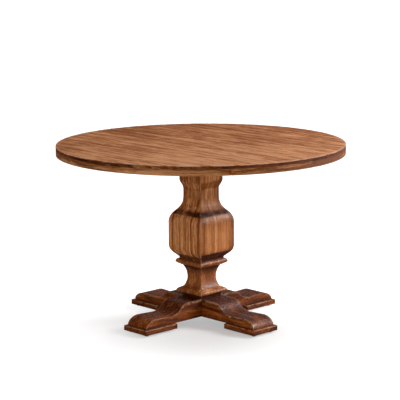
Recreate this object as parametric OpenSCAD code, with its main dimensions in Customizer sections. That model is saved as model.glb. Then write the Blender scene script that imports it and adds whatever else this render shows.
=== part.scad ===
// Round pedestal table: a planked round top with a deep rim, a square carved column,
// and two crossed foot beams that stand on pads and nail-on glides.
// Millimetres. +Z is up. The origin is on the floor under the middle of the column.
// The foot beams lie along X and Y, and the planks run along X.

/* [Top] */
// Diameter of the top
top_d = 1219.2; // [1000:0.1:1500]
// Height of the top's surface above the floor
table_h = 762; // [750:0.1:950]
// Thickness of the planks
plank_t = 14; // [12:0.5:20]
// Depth of the rim below the planks, and thickness of the battens
rim_t = 26; // [20:0.5:36]
// Width of the rim, from the edge inwards
rim_w = 90; // [60:1:120]
// Size of the eased arrises round the top's edge
edge_ease = 2; // [0.5:0.5:4]
// Width of the two side battens
side_batten_w = 90; // [60:1:110]
// Width of the middle batten
mid_batten_w = 120; // [90:1:160]
// How far inside the crossing of the rim and the outermost plank joint each side batten begins
side_batten_lap = 7; // [3:0.5:40]

/* [Bearer arms under the top] */
// How far each bearer arm runs past the middle of the side batten
arm_past = 90; // [60:1:130]
// Width of each bearer arm
arm_w = 80; // [70:1:110]
// Depth of the bearer arms at the column
arm_h = 56; // [50:1:75]
// Depth of the bearer arms at their ends
arm_tip_h = 24; // [15:1:40]
// Length of the level underside on each side of the middle
arm_level = 180; // [120:1:220]

/* [Column] */
// Width of the neck, and of the glued core that runs through the bulb
neck_w = 108.2; // [96:0.1:130]
// Width of the bulb across its faces
bulb_w = 199.2; // [180:0.1:240]
// Height of the bulb's straight faces
bulb_face_h = 100; // [60:1:130]
// Radius of the bulb's shoulder
shoulder_r = 70; // [60:1:90]
// Radius of the hollow between the shoulder and the neck
neck_hollow_r = 81; // [60:1:100]
// Radius of the turn under the bulb
bulb_under_r = 48; // [30:1:55]
// Width of the bulb's foot on the collar
bulb_foot_w = 136; // [120:1:150]
// Height of the bulb's upright foot
bulb_foot_h = 6; // [3:0.5:12]
// Width of the cap block under the top
cap_w = 131.4; // [128:0.1:170]
// Height of the cap block
cap_h = 100; // [85:1:140]
// Height of the curve that widens the neck to the cap
cap_curve_h = 45; // [30:1:70]
// Width of the collar under the bulb
collar_w = 160; // [150:0.1:190]
// Thickness of the collar
collar_h = 28; // [20:1:40]
// Depth of the collar's rounded edge
collar_nose = 13; // [8:0.5:16]
// Height of the collar's edge where it is widest
collar_edge_h = 15; // [12:0.5:17]
// Radius of the small round under the collar's edge
collar_under_r = 7; // [4:0.5:9]
// Width of the collar where it slopes in to the waist
collar_foot_w = 124; // [118:1:134]
// Width of the waist at its narrowest
waist_w = 88; // [80:1:100]
// Height of the waist block
waist_h = 95; // [70:1:120]
// Height of the narrowest place above the waist block's foot
waist_low = 45; // [35:1:60]
// Radius of the waist's hollow
waist_r = 91; // [75:1:150]
// Width of the plinth at its bead
plinth_w = 156; // [150:1:190]
// Thickness of the plinth
plinth_h = 24; // [18:0.5:36]
// Radius of the plinth's bead
bead_r = 8; // [5:0.5:9]
// Width of the plinth's top, under the waist block
plinth_top_w = 116; // [112:1:124]
// How far the spacer under the plinth stands out past the foot beams' sides
spacer_lip = 1.4; // [0.4:0.1:8]
// Thickness of the spacer
spacer_h = 16; // [8:0.5:24]

/* [Foot beams and pads] */
// Length of each foot beam
beam_l = 740; // [680:1:900]
// Width of each foot beam
beam_w = 117.2; // [100:0.1:145]
// Height of the foot beams at the middle
beam_h = 75; // [60:1:95]
// Half length of the level top at the middle
beam_level = 136; // [110:1:150]
// Radius of the upper turn of the beam's curve
beam_turn_r = 50; // [30:1:70]
// Radius of the lower hollow of the beam's curve
beam_hollow_r = 76; // [50:1:90]
// Height of the beam at the foot of the curve
beam_low_h = 33; // [24:1:45]
// Height of the beam where its rounded nose begins
beam_nose_h = 36.5; // [26:0.5:50]
// Length of the rounded nose
beam_nose_l = 56; // [30:1:80]
// Length of each pad
pad_l = 175.4; // [150:0.1:220]
// Thickness of each pad
pad_t = 21; // [16:0.5:30]
// How far a pad stands out beyond the beam's sides and end
pad_lip = 12; // [5:0.5:20]
// Size of the pad's eased arrises
pad_ease = 3; // [1:0.5:6]
// Diameter of each glide
glide_d = 22; // [16:0.5:30]
// Height of each glide below the pad
glide_h = 8; // [5:0.5:12]
// Distance of a glide's middle from the pad's end and side
glide_in = 24; // [18:0.5:40]

/* [Fastenings] */
// Diameter of the tie rod
rod_d = 16; // [12:1:20]
// Radial room round the tie rod in its bore
rod_room = 1; // [0.5:0.25:2]
// Width of the nuts across their flats
nut_w = 24; // [19:1:30]
// Thickness of the nuts
nut_h = 13; // [10:0.5:16]
// Diameter of the washers
washer_d = 40; // [34:1:48]
// Thickness of the washers
washer_t = 3; // [2:0.5:4]
// Diameter of the locating pins in the column
pin_d = 10; // [6:0.5:12]
// Depth of a locating pin in each piece
pin_in = 12; // [8:0.5:13]
// Diameter of the dowels in the rim's joints
rim_dowel_d = 8; // [6:0.5:10]
// Length of the dowels in the rim's joints
rim_dowel_l = 40; // [30:1:60]
// Diameter of the wood screws
screw_d = 5; // [4:0.5:6]
// Diameter of the wood screws' heads
screw_head_d = 10; // [8:0.5:12]
// Radial room round a pin, a screw or a nail in its hole
hole_room = 0.1; // [0.05:0.05:0.3]

/* [Hidden] */
$fn = 64;
ARC_STEPS = 8;
MITRE = 45;
CUT = 5;

PLANKS = 9;
RIM_PIECES = 10;
SIDES = ["right", "back", "left", "front"];
STAVES = ["back_right", "back_left", "front_left", "front_right"];

// Heights of the joints, from the floor up
z_pad = glide_h;
z_beam = z_pad + pad_t;
z_spacer = z_beam + beam_h;
z_plinth = z_spacer + spacer_h;
z_waist = z_plinth + plinth_h;
z_collar = z_waist + waist_h;
z_bulb = z_collar + collar_h;
z_plank = table_h - plank_t;
z_rim = z_plank - rim_t;
z_arm = z_rim - arm_h;
z_cap = z_arm - cap_h;
core_h = z_cap - z_bulb;

// The top
plank_w = top_d / PLANKS;
rim_in = top_d / 2 - rim_w;
rim_angle = 360 / RIM_PIECES;
rim_turn = 3.6;
batten_room = 0.2;
lap_room = 0.1;
outer_joint = top_d / 2 - plank_w;
side_batten_x = sqrt(pow(rim_in - batten_room, 2) - pow(outer_joint, 2)) - side_batten_lap
    + side_batten_w / 2;
arm_l = 2 * (side_batten_x + arm_past);
spacer_w = beam_w + 2 * spacer_lip;

// The bulb's outline: a foot, a mitred underside, a straight face and an S up to the neck
bulb_r = bulb_w / 2;
neck_r = neck_w / 2;
under_z = bulb_foot_h + bulb_r - bulb_foot_w / 2 + bulb_under_r * tan(MITRE / 2);
shoulder_z = under_z + bulb_face_h;
s_run = shoulder_r + neck_hollow_r - (bulb_r - neck_r);
s_rise = sqrt(pow(shoulder_r + neck_hollow_r, 2) - pow(s_run, 2));
s_angle = atan2(s_rise, s_run);
bulb_h = shoulder_z + s_rise;

// The tie rod and its nuts
bore_r = rod_d / 2 + rod_room;
nut_pocket_r = washer_d / 2 + 2;
nut_stack = washer_t + nut_h;
rod_proud = 2;
low_pocket = nut_stack + rod_proud + 4;
high_pocket = nut_stack + rod_proud + 2;
z_low_seat = z_beam + low_pocket;
z_high_seat = z_rim - high_pocket;

// Pins, screws and nails
pin_at = neck_w / 4;
spacer_pin_l = spacer_h + 2 * pin_in;
plank_bite = 10;
batten_screw_l = rim_t + plank_bite;
batten_screw_end = 15;
arm_screw_at = 18;
arm_seat = 22;
arm_bite = 18;
pad_screw_in = [34, 94];
pad_screw_seat = 6;
pad_bite = 16;
nail_d = 3;
nail_l = 15;
rim_dowel_in = rim_w / 3;

TOP_WOOD = [0.55, 0.33, 0.20];
RIM_WOOD = [0.50, 0.30, 0.15];
COLUMN_WOOD = [0.60, 0.36, 0.20];
FOOT_WOOD = [0.42, 0.24, 0.14];
INNER_WOOD = [0.70, 0.56, 0.38];
DOWEL_WOOD = [0.80, 0.68, 0.48];
STEEL = [0.62, 0.63, 0.65];
GLIDE = [0.16, 0.15, 0.14];

// ---------- outlines ----------

// Points along an arc of a circle or an upright oval, from angle a0 to angle a1
function arc(centre, rx, ry, a0, a1) = [
    for (i = [0:ARC_STEPS])
        let (a = a0 + (a1 - a0) * i / ARC_STEPS)
        [centre[0] + rx * cos(a), centre[1] + ry * sin(a)]
];

// An outline of [half width, height] points, closed by its own mirror image
function both_sides(half) = concat(
    half,
    [for (i = [len(half) - 1:-1:0]) [-half[i][0], half[i][1]]]
);

function bulb_outline() = concat(
    [[bulb_foot_w / 2, 0]],
    arc([bulb_r - bulb_under_r, under_z], bulb_under_r, bulb_under_r, -MITRE, 0),
    arc([bulb_r - shoulder_r, shoulder_z], shoulder_r, shoulder_r, 0, s_angle),
    arc([neck_r + neck_hollow_r, bulb_h], neck_hollow_r, neck_hollow_r, 180 + s_angle, 180)
);

function bulb_outline_with_foot() = let (b = bulb_outline()) concat(
    [b[0], [bulb_foot_w / 2, bulb_foot_h]],
    [for (i = [1:len(b) - 1]) b[i]]
);

// Two equal arcs that widen the neck to the cap
function cap_outline() =
    let (
        out = cap_w / 2 - neck_r,
        r = (pow(cap_curve_h, 2) + pow(out, 2)) / (4 * out),
        a = 2 * atan(out / cap_curve_h)
    )
    concat(
        arc([neck_r + r, 0], r, r, 180, 180 - a),
        arc([cap_w / 2 - r, cap_curve_h], r, r, -a, 0),
        [[cap_w / 2, cap_h]]
    );

// A round edge that slopes in underneath to the waist
function collar_outline() =
    let (
        under = arc([collar_w / 2 - collar_under_r, collar_edge_h], collar_under_r, collar_under_r, -70, 0),
        over = arc([collar_w / 2 - collar_nose, collar_edge_h], collar_nose, collar_h - collar_edge_h, 0, 90)
    )
    concat([[collar_foot_w / 2, 0]], under, [for (i = [1:len(over) - 1]) over[i]]);

function waist_outline() = arc(
    [waist_w / 2 + waist_r, waist_low], waist_r, waist_r,
    180 + asin(waist_low / waist_r), 180 - asin((waist_h - waist_low) / waist_r)
);

function plinth_outline() = concat(
    arc([plinth_w / 2 - bead_r, bead_r], bead_r, bead_r, -90, 60),
    [[plinth_top_w / 2, plinth_h]]
);

// Half of a foot beam seen from its side, from the middle to the nose
function beam_outline() =
    let (
        drop = beam_h - beam_low_h,
        a = acos(1 - drop / (beam_turn_r + beam_hollow_r)),
        run = (beam_turn_r + beam_hollow_r) * sin(a)
    )
    concat(
        arc([beam_l / 2 - beam_nose_l, 0], beam_nose_l, beam_nose_h, 0, 90),
        arc([beam_level + run, beam_low_h + beam_hollow_r],
            beam_hollow_r, beam_hollow_r, 270, 270 - a),
        arc([beam_level, beam_h - beam_turn_r], beam_turn_r, beam_turn_r, 90 - a, 90)
    );

// ---------- shared shapes ----------

// A solid of square section whose half width follows an outline
module square_section(half) {
    span = 2 * max([for (p = half) p[0]]) + 2;
    intersection() {
        rotate([90, 0, 0]) linear_extrude(span, center = true) polygon(both_sides(half));
        rotate([90, 0, 90]) linear_extrude(span, center = true) polygon(both_sides(half));
    }
}

// A disc with eased arrises: low and high say which of them are eased
module eased_disc(r, h, low, high) {
    rotate_extrude($fn = 180) polygon([
        [0, 0],
        [r - low, 0],
        [r, low],
        [r, h - high],
        [r - high, h],
        [0, h]
    ]);
}

// The length of the tie rod's bore, wider by the room round the rod
module rod_bore() {
    translate([0, 0, z_beam - CUT]) cylinder(r = bore_r, h = table_h - z_beam);
}

// A countersunk wood screw, head down, point up, with its head's face at the origin
module screw(length, room = 0) {
    head_h = (screw_head_d - screw_d) / 2;
    cylinder(d1 = screw_head_d + 2 * room, d2 = screw_d + 2 * room, h = head_h);
    cylinder(d = screw_d + 2 * room, h = length);
}

// Copies its child to the four sides of the table: right, back, left and front
module on_side(k) {
    rotate([0, 0, 90 * k]) children();
}

// ---------- fastening layouts, used for the pieces and for their holes ----------

module all_column_pins(room = 0) {
    spacer_middle = (z_spacer + z_plinth) / 2;
    joints = [[spacer_middle, spacer_pin_l / 2, 0], [z_waist, pin_in, 1], [z_collar, pin_in, 0],
        [z_bulb, pin_in, 1], [z_cap, pin_in, 0], [z_arm, pin_in, 1]];
    for (j = joints, turn = [0, 180])
        rotate([0, 0, 45 + 90 * j[2] + turn])
            translate([pin_at * sqrt(2), 0, j[0]])
                cylinder(d = pin_d + 2 * room, h = 2 * j[1], center = true);
}

module all_rim_dowels(room = 0) {
    for (i = [0:RIM_PIECES - 1], r = [rim_in + rim_dowel_in, rim_in + 2 * rim_dowel_in])
        rotate([0, 0, rim_turn + rim_angle * i])
            translate([r, 0, z_rim + rim_t / 2])
                rotate([90, 0, 0])
                    cylinder(d = rim_dowel_d + 2 * room, h = rim_dowel_l, center = true);
}

function batten_reach(x, w) = sqrt(pow(rim_in - batten_room, 2) - pow(abs(x) + w / 2, 2));

module batten_screw_row(x, w, room = 0) {
    for (k = [-(PLANKS - 1) / 2:(PLANKS - 1) / 2])
        if (abs(k * plank_w) < batten_reach(x, w) - batten_screw_end)
            translate([x, k * plank_w, z_rim]) screw(batten_screw_l, room);
}

module all_batten_screws(room = 0) {
    batten_screw_row(-side_batten_x, side_batten_w, room);
    batten_screw_row(0, mid_batten_w, room);
    batten_screw_row(side_batten_x, side_batten_w, room);
}

module all_arm_screws(room = 0) {
    for (k = [0:3], s = [-1, 1])
        on_side(k)
            translate([side_batten_x, s * arm_screw_at, z_rim - arm_seat])
                screw(arm_seat + arm_bite, room);
}

module all_pad_screws(room = 0) {
    for (k = [0:3], u = pad_screw_in)
        on_side(k)
            translate([beam_l / 2 + pad_lip - pad_l + u, 0, z_pad + pad_screw_seat])
                screw(pad_t - pad_screw_seat + pad_bite, room);
}

// A nail-on glide, with its nail standing in the pad above it
module glide(room = 0) {
    flat_d = glide_d * 0.7;
    cylinder(d1 = flat_d, d2 = glide_d, h = glide_h * 0.4);
    translate([0, 0, glide_h * 0.4]) cylinder(d = glide_d, h = glide_h * 0.6);
    cylinder(d = nail_d + 2 * room, h = glide_h + nail_l);
}

module glide_place(i) {
    end = beam_l / 2 + pad_lip - glide_in;
    side = beam_w / 2 + pad_lip - glide_in;
    on_side(floor((i - 1) / 2)) translate([end, (i % 2 == 1 ? -1 : 1) * side, 0]) children();
}

// ---------- the top ----------

module top_plank(i) {
    color(TOP_WOOD) difference() {
        intersection() {
            translate([0, 0, z_plank]) eased_disc(top_d / 2, plank_t, 0, edge_ease);
            translate([-top_d, -top_d / 2 + plank_w * (i - 1), z_plank - CUT])
                cube([2 * top_d, plank_w, plank_t + 2 * CUT]);
        }
        all_batten_screws(hole_room);
    }
}

module rim_segment(i) {
    reach = top_d;
    a = [rim_turn + rim_angle * (i - 1), rim_turn + rim_angle * i];
    color(RIM_WOOD) difference() {
        intersection() {
            translate([0, 0, z_rim]) eased_disc(top_d / 2, rim_t, edge_ease, 0);
            translate([0, 0, z_rim - CUT]) linear_extrude(rim_t + 2 * CUT) polygon([
                [0, 0],
                reach * [cos(a[0]), sin(a[0])],
                reach * [cos(a[1]), sin(a[1])]
            ]);
        }
        translate([0, 0, z_rim - CUT]) cylinder(r = rim_in, h = rim_t + 2 * CUT, $fn = 180);
        all_rim_dowels(hole_room);
    }
}

module rim_dowels() {
    color(DOWEL_WOOD) all_rim_dowels();
}

module batten(x, w) {
    color(INNER_WOOD) difference() {
        intersection() {
            translate([0, 0, z_rim]) cylinder(r = rim_in - batten_room, h = rim_t, $fn = 180);
            translate([x - w / 2, -top_d / 2, z_rim - CUT])
                cube([w, top_d, rim_t + 2 * CUT]);
        }
        batten_screw_row(x, w, hole_room);
        all_arm_screws(hole_room);
    }
}

module batten_screws() {
    color(STEEL) all_batten_screws();
}

// ---------- the bearer arms ----------

module arm_blank() {
    half = [[arm_level, 0], [arm_l / 2, arm_h - arm_tip_h], [arm_l / 2, arm_h]];
    translate([0, 0, z_arm]) rotate([90, 0, 0]) linear_extrude(arm_w, center = true)
        polygon(both_sides(half));
}

module arm_holes() {
    rod_bore();
    translate([0, 0, z_high_seat]) cylinder(r = nut_pocket_r, h = high_pocket + CUT);
    all_column_pins(hole_room);
    all_arm_screws(hole_room);
    for (k = [0:3], s = [-1, 1])
        on_side(k)
            translate([side_batten_x, s * arm_screw_at, z_arm - CUT])
                cylinder(d = screw_head_d + 2, h = arm_h - arm_seat + CUT);
}

module lap_notch(z, w, h) {
    gap = w + 2 * lap_room;
    translate([-gap / 2, -gap, z]) cube([gap, 2 * gap, h]);
}

module bearer_arm_x() {
    color(INNER_WOOD) difference() {
        arm_blank();
        lap_notch(z_arm - CUT, arm_w, arm_h / 2 + CUT);
        arm_holes();
    }
}

module bearer_arm_y() {
    color(INNER_WOOD) difference() {
        rotate([0, 0, 90]) arm_blank();
        rotate([0, 0, 90]) lap_notch(z_arm + arm_h / 2, arm_w, arm_h / 2 + CUT);
        arm_holes();
    }
}

module bearer_arm_screws() {
    color(STEEL) all_arm_screws();
}

// ---------- the column ----------

// A square moulded block of the column at height z, bored for the rod and its pins
module column_block(z, half, shade) {
    color(shade) difference() {
        translate([0, 0, z]) square_section(half);
        rod_bore();
        all_column_pins(hole_room);
    }
}

module column_cap() {
    column_block(z_cap, cap_outline(), COLUMN_WOOD);
}

// One of the four square staves that are glued to make the core
module core_stave(k) {
    color(COLUMN_WOOD) difference() {
        on_side(k) translate([0, 0, z_bulb]) cube([neck_r, neck_r, core_h]);
        rod_bore();
        all_column_pins(hole_room);
    }
}

// One of the four cheeks glued round the core: each one laps the end of the next
module bulb_cheek(k) {
    color(COLUMN_WOOD) intersection() {
        translate([0, 0, z_bulb]) square_section(bulb_outline_with_foot());
        on_side(k) translate([neck_r, -bulb_r - 1, z_bulb - CUT])
            cube([bulb_r, bulb_r + 1 + neck_r, bulb_h + 2 * CUT]);
    }
}

module collar() {
    column_block(z_collar, collar_outline(), COLUMN_WOOD);
}

module waist_block() {
    column_block(z_waist, waist_outline(), COLUMN_WOOD);
}

module plinth() {
    column_block(z_plinth, plinth_outline(), COLUMN_WOOD);
}

module spacer_block() {
    column_block(z_spacer, [[spacer_w / 2, 0], [spacer_w / 2, spacer_h]], FOOT_WOOD);
}

module column_pins() {
    color(DOWEL_WOOD) all_column_pins();
}

// ---------- the foot ----------

module beam_blank() {
    translate([0, 0, z_beam]) rotate([90, 0, 0]) linear_extrude(beam_w, center = true)
        polygon(both_sides(beam_outline()));
}

module beam_holes() {
    rod_bore();
    translate([0, 0, z_beam - CUT]) cylinder(r = nut_pocket_r, h = low_pocket + CUT);
    all_column_pins(hole_room);
    all_pad_screws(hole_room);
}

module foot_beam_x() {
    color(FOOT_WOOD) difference() {
        beam_blank();
        lap_notch(z_beam - CUT, beam_w, beam_h / 2 + CUT);
        beam_holes();
    }
}

module foot_beam_y() {
    color(FOOT_WOOD) difference() {
        rotate([0, 0, 90]) beam_blank();
        rotate([0, 0, 90]) lap_notch(z_beam + beam_h / 2, beam_w, beam_h / 2 + CUT);
        beam_holes();
    }
}

// A block with eased arrises round its top face
module eased_block(l, w, h, ease) {
    intersection() {
        rotate([90, 0, 0]) linear_extrude(w, center = true)
            polygon(both_sides(concat([[l / 2, 0]], arc([l / 2 - ease, h - ease], ease, ease, 0, 90))));
        rotate([90, 0, 90]) linear_extrude(l, center = true)
            polygon(both_sides(concat([[w / 2, 0]], arc([w / 2 - ease, h - ease], ease, ease, 0, 90))));
    }
}

module foot_pad(k) {
    middle = beam_l / 2 + pad_lip - pad_l / 2;
    color(FOOT_WOOD) difference() {
        on_side(k) translate([middle, 0, z_pad])
            eased_block(pad_l, beam_w + 2 * pad_lip, pad_t, pad_ease);
        all_pad_screws(hole_room);
        on_side(k) for (u = pad_screw_in)
            translate([beam_l / 2 + pad_lip - pad_l + u, 0, z_pad - CUT])
                cylinder(d = screw_head_d + 2, h = pad_screw_seat + CUT);
        for (i = [2 * k + 1, 2 * k + 2])
            glide_place(i) translate([0, 0, z_pad - CUT])
                cylinder(d = nail_d + 2 * hole_room, h = nail_l + CUT);
    }
}

module foot_pad_screws() {
    color(STEEL) all_pad_screws();
}

module floor_glide(i) {
    color(GLIDE) glide_place(i) glide();
}

// ---------- the tie rod ----------

module tie_rod() {
    z0 = z_low_seat - nut_stack - rod_proud;
    z1 = z_high_seat + nut_stack + rod_proud;
    color(STEEL) translate([0, 0, z0]) cylinder(d = rod_d, h = z1 - z0);
}

module ring(d, h) {
    difference() {
        cylinder(d = d, h = h);
        translate([0, 0, -CUT]) cylinder(d = rod_d, h = h + 2 * CUT);
    }
}

module nut() {
    difference() {
        cylinder(d = nut_w / cos(30), h = nut_h, $fn = 6);
        translate([0, 0, -CUT]) cylinder(d = rod_d, h = nut_h + 2 * CUT);
    }
}

module tie_rod_washers() {
    color(STEEL) {
        translate([0, 0, z_low_seat - washer_t]) ring(washer_d, washer_t);
        translate([0, 0, z_high_seat]) ring(washer_d, washer_t);
    }
}

module tie_rod_nuts() {
    color(STEEL) {
        translate([0, 0, z_low_seat - nut_stack]) nut();
        translate([0, 0, z_high_seat + washer_t]) nut();
    }
}

for (i = [1:PLANKS]) top_plank(i);
for (i = [1:RIM_PIECES]) rim_segment(i);
rim_dowels();
batten(-side_batten_x, side_batten_w);  // batten_left
batten(0, mid_batten_w);  // batten_middle
batten(side_batten_x, side_batten_w);  // batten_right
batten_screws();
bearer_arm_x();
bearer_arm_y();
bearer_arm_screws();
column_cap();
for (k = [0:3]) core_stave(k);
for (k = [0:3]) bulb_cheek(k);
collar();
waist_block();
plinth();
spacer_block();
column_pins();
foot_beam_x();
foot_beam_y();
for (k = [0:3]) foot_pad(k);
foot_pad_screws();
for (i = [1:8]) floor_glide(i);
tie_rod();
tie_rod_washers();
tie_rod_nuts();
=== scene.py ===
"""A round pedestal table of waxed old hardwood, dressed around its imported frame.

Each sub-assembly of the table is a class. The planked top with its deep rim, the square carved
column and the crossed feet cut their own timber. The battens and bearer arms, the dowels and pins
and the tie rod keep the frame's shapes and are given a finish and eased arrises. The screws and
glides are made by rule. Lengths are in metres, and angles in a class's sizes are in degrees.
+Z is up, and the origin is on the floor under the middle of the column.
"""

import logging
import math
from dataclasses import dataclass, field
from enum import Enum
from typing import Callable, Sequence

import bmesh
import bpy
import numpy as np
from mathutils import Matrix, Vector, noise


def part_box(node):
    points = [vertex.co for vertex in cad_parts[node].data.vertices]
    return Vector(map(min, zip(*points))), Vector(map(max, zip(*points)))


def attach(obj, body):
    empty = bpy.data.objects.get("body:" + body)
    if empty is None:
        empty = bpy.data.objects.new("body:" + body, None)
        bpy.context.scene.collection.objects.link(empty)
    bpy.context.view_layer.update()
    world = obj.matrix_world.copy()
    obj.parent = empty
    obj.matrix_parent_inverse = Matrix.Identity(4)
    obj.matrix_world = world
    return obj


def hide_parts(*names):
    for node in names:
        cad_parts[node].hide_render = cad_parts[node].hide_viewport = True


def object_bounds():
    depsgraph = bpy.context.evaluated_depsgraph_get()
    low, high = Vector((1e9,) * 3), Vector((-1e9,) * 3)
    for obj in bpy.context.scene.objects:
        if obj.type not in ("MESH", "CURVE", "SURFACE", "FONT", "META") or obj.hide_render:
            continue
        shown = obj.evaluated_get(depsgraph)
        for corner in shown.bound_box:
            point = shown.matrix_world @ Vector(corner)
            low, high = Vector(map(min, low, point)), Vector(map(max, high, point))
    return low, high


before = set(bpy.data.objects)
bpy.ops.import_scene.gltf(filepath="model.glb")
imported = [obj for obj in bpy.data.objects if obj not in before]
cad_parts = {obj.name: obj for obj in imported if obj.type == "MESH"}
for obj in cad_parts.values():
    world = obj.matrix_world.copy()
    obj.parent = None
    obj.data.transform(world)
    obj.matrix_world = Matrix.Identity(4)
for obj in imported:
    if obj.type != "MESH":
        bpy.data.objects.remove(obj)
CAD_LOW, CAD_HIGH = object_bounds()

LOG = logging.getLogger("pedestal_table")
BODY = "root"
MM = 0.001
QUARTER = math.pi / 2
WHITE = (1.0, 1.0, 1.0)

# distances that count as none: between cuts, between doubled corners, and between outline points
HAIR = 0.001 * MM
WELD = 0.002 * MM
SNUG = 0.01 * MM
# edges sharper than these are shaded as edges, and eased
SHARP_ANGLE = math.radians(48)
EASED_ANGLE = math.radians(40)

Colour = tuple[float, float, float]
Point2 = tuple[float, float]


class Axis(Enum):
    """The way that the grain runs in a piece."""

    X = (1.0, 0.0, 0.0)
    Y = (0.0, 1.0, 0.0)
    Z = (0.0, 0.0, 1.0)
    ROUND = None


class Side(Enum):
    """The four sides of the table, by how many quarter turns they lie from +X."""

    RIGHT = 0
    BACK = 1
    LEFT = 2
    FRONT = 3

    @property
    def turn(self) -> Matrix:
        """The turn about Z that takes the right side to this one."""
        return Matrix.Rotation(self.value * QUARTER, 4, "Z")

    @property
    def word(self) -> str:
        """The side's name as the nodes spell it."""
        return self.name.lower()


class Mask(Enum):
    """What is painted on a piece's corners for its finish to read."""

    BOARD = "board"
    TONE = "tone"
    STAIN = "stain"
    CALM = "calm"
    GLAZE = "glaze"
    WEAR = "wear"


# ---------------------------------------------------------------- shader expressions


class Value:
    """A number that a node tree works out at each point. Arithmetic on it adds Math nodes."""

    def __init__(self, bench: "Bench", socket: bpy.types.NodeSocket) -> None:
        """Keeps the tree's bench and the socket that the number comes from."""
        self.bench = bench
        self.socket = socket

    def _math(self, operation: str, *terms: "Value | float", clamp: bool = False) -> "Value":
        """Adds one Math node.

        Args:
            operation: The Math node's operation.
            terms: Its inputs, as values or plain numbers.
            clamp: Whether the result is held between 0 and 1.

        Returns:
            The node's result.
        """
        made = self.bench.node(
            "ShaderNodeMath", {"operation": operation, "use_clamp": clamp}, dict(enumerate(terms))
        )
        return Value(self.bench, made.outputs[0])

    def __add__(self, other: "Value | float") -> "Value":
        """self + other."""
        return self._math("ADD", self, other)

    def __radd__(self, other: float) -> "Value":
        """other + self."""
        return self._math("ADD", other, self)

    def __sub__(self, other: "Value | float") -> "Value":
        """self - other."""
        return self._math("SUBTRACT", self, other)

    def __rsub__(self, other: float) -> "Value":
        """other - self."""
        return self._math("SUBTRACT", other, self)

    def __mul__(self, other: "Value | float") -> "Value":
        """self * other."""
        return self._math("MULTIPLY", self, other)

    def __rmul__(self, other: float) -> "Value":
        """other * self."""
        return self._math("MULTIPLY", other, self)

    def __truediv__(self, other: "Value | float") -> "Value":
        """self / other."""
        return self._math("DIVIDE", self, other)

    def __rtruediv__(self, other: float) -> "Value":
        """other / self."""
        return self._math("DIVIDE", other, self)

    def __pow__(self, power: "Value | float") -> "Value":
        """self ** power."""
        return self._math("POWER", self, power)

    def __rpow__(self, base: float) -> "Value":
        """base ** self."""
        return self._math("POWER", base, self)

    def __mod__(self, step: "Value | float") -> "Value":
        """self % step, for a number that isn't negative."""
        return self._math("MODULO", self, step)

    def __rmod__(self, other: float) -> "Value":
        """other % self, for a number that isn't negative."""
        return self._math("MODULO", other, self)

    def held(self) -> "Value":
        """The number, held between 0 and 1."""
        return self._math("ADD", self, 0.0, clamp=True)

    def rounded(self) -> "Value":
        """The nearest whole number."""
        return self._math("ROUND", self)

    def floored(self) -> "Value":
        """The whole number below."""
        return self._math("FLOOR", self)

    def at_most(self, limit: "Value | float") -> "Value":
        """The number, or the limit if that is less."""
        return self._math("MINIMUM", self, limit)

    def at_least(self, limit: "Value | float") -> "Value":
        """The number, or the limit if that is more."""
        return self._math("MAXIMUM", self, limit)

    def cosine(self) -> "Value":
        """The cosine of an angle in radians."""
        return self._math("COSINE", self)

    def sine(self) -> "Value":
        """The sine of an angle in radians."""
        return self._math("SINE", self)

    def angle_from(self, x: "Value") -> "Value":
        """The angle round the middle of a point that lies this far up and x along."""
        return self._math("ARCTAN2", self, x)

    def ramp(self, low: float, high: float) -> "Value":
        """A smooth step from 0 at low to 1 at high."""
        made = self.bench.node(
            "ShaderNodeMapRange",
            {"interpolation_type": "SMOOTHSTEP"},
            {"Value": self, "From Min": low, "From Max": high},
        )
        return Value(self.bench, made.outputs["Result"])


class Tint:
    """A colour that a shader works out at each point."""

    def __init__(self, bench: "Bench", socket: bpy.types.NodeSocket) -> None:
        """Keeps the tree's bench and the socket that the colour comes from."""
        self.bench = bench
        self.socket = socket

    def mixed(self, other: "Tint | Colour", share: Value) -> "Tint":
        """Mixes in another colour.

        Args:
            other: The colour to mix in.
            share: How much of it, from 0 to 1.

        Returns:
            The mixed colour.
        """
        made = self.bench.node(
            "ShaderNodeMix",
            {"data_type": "RGBA", "blend_type": "MIX", "clamp_factor": True},
            {"Factor": share, 6: self, 7: other},
        )
        return Tint(self.bench, made.outputs[2])

    def scaled(self, share: Value) -> "Tint":
        """The colour made lighter or darker by a factor."""
        made = self.bench.node(
            "ShaderNodeVectorMath", {"operation": "SCALE"}, {0: self, "Scale": share}
        )
        return Tint(self.bench, made.outputs[0])


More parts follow.
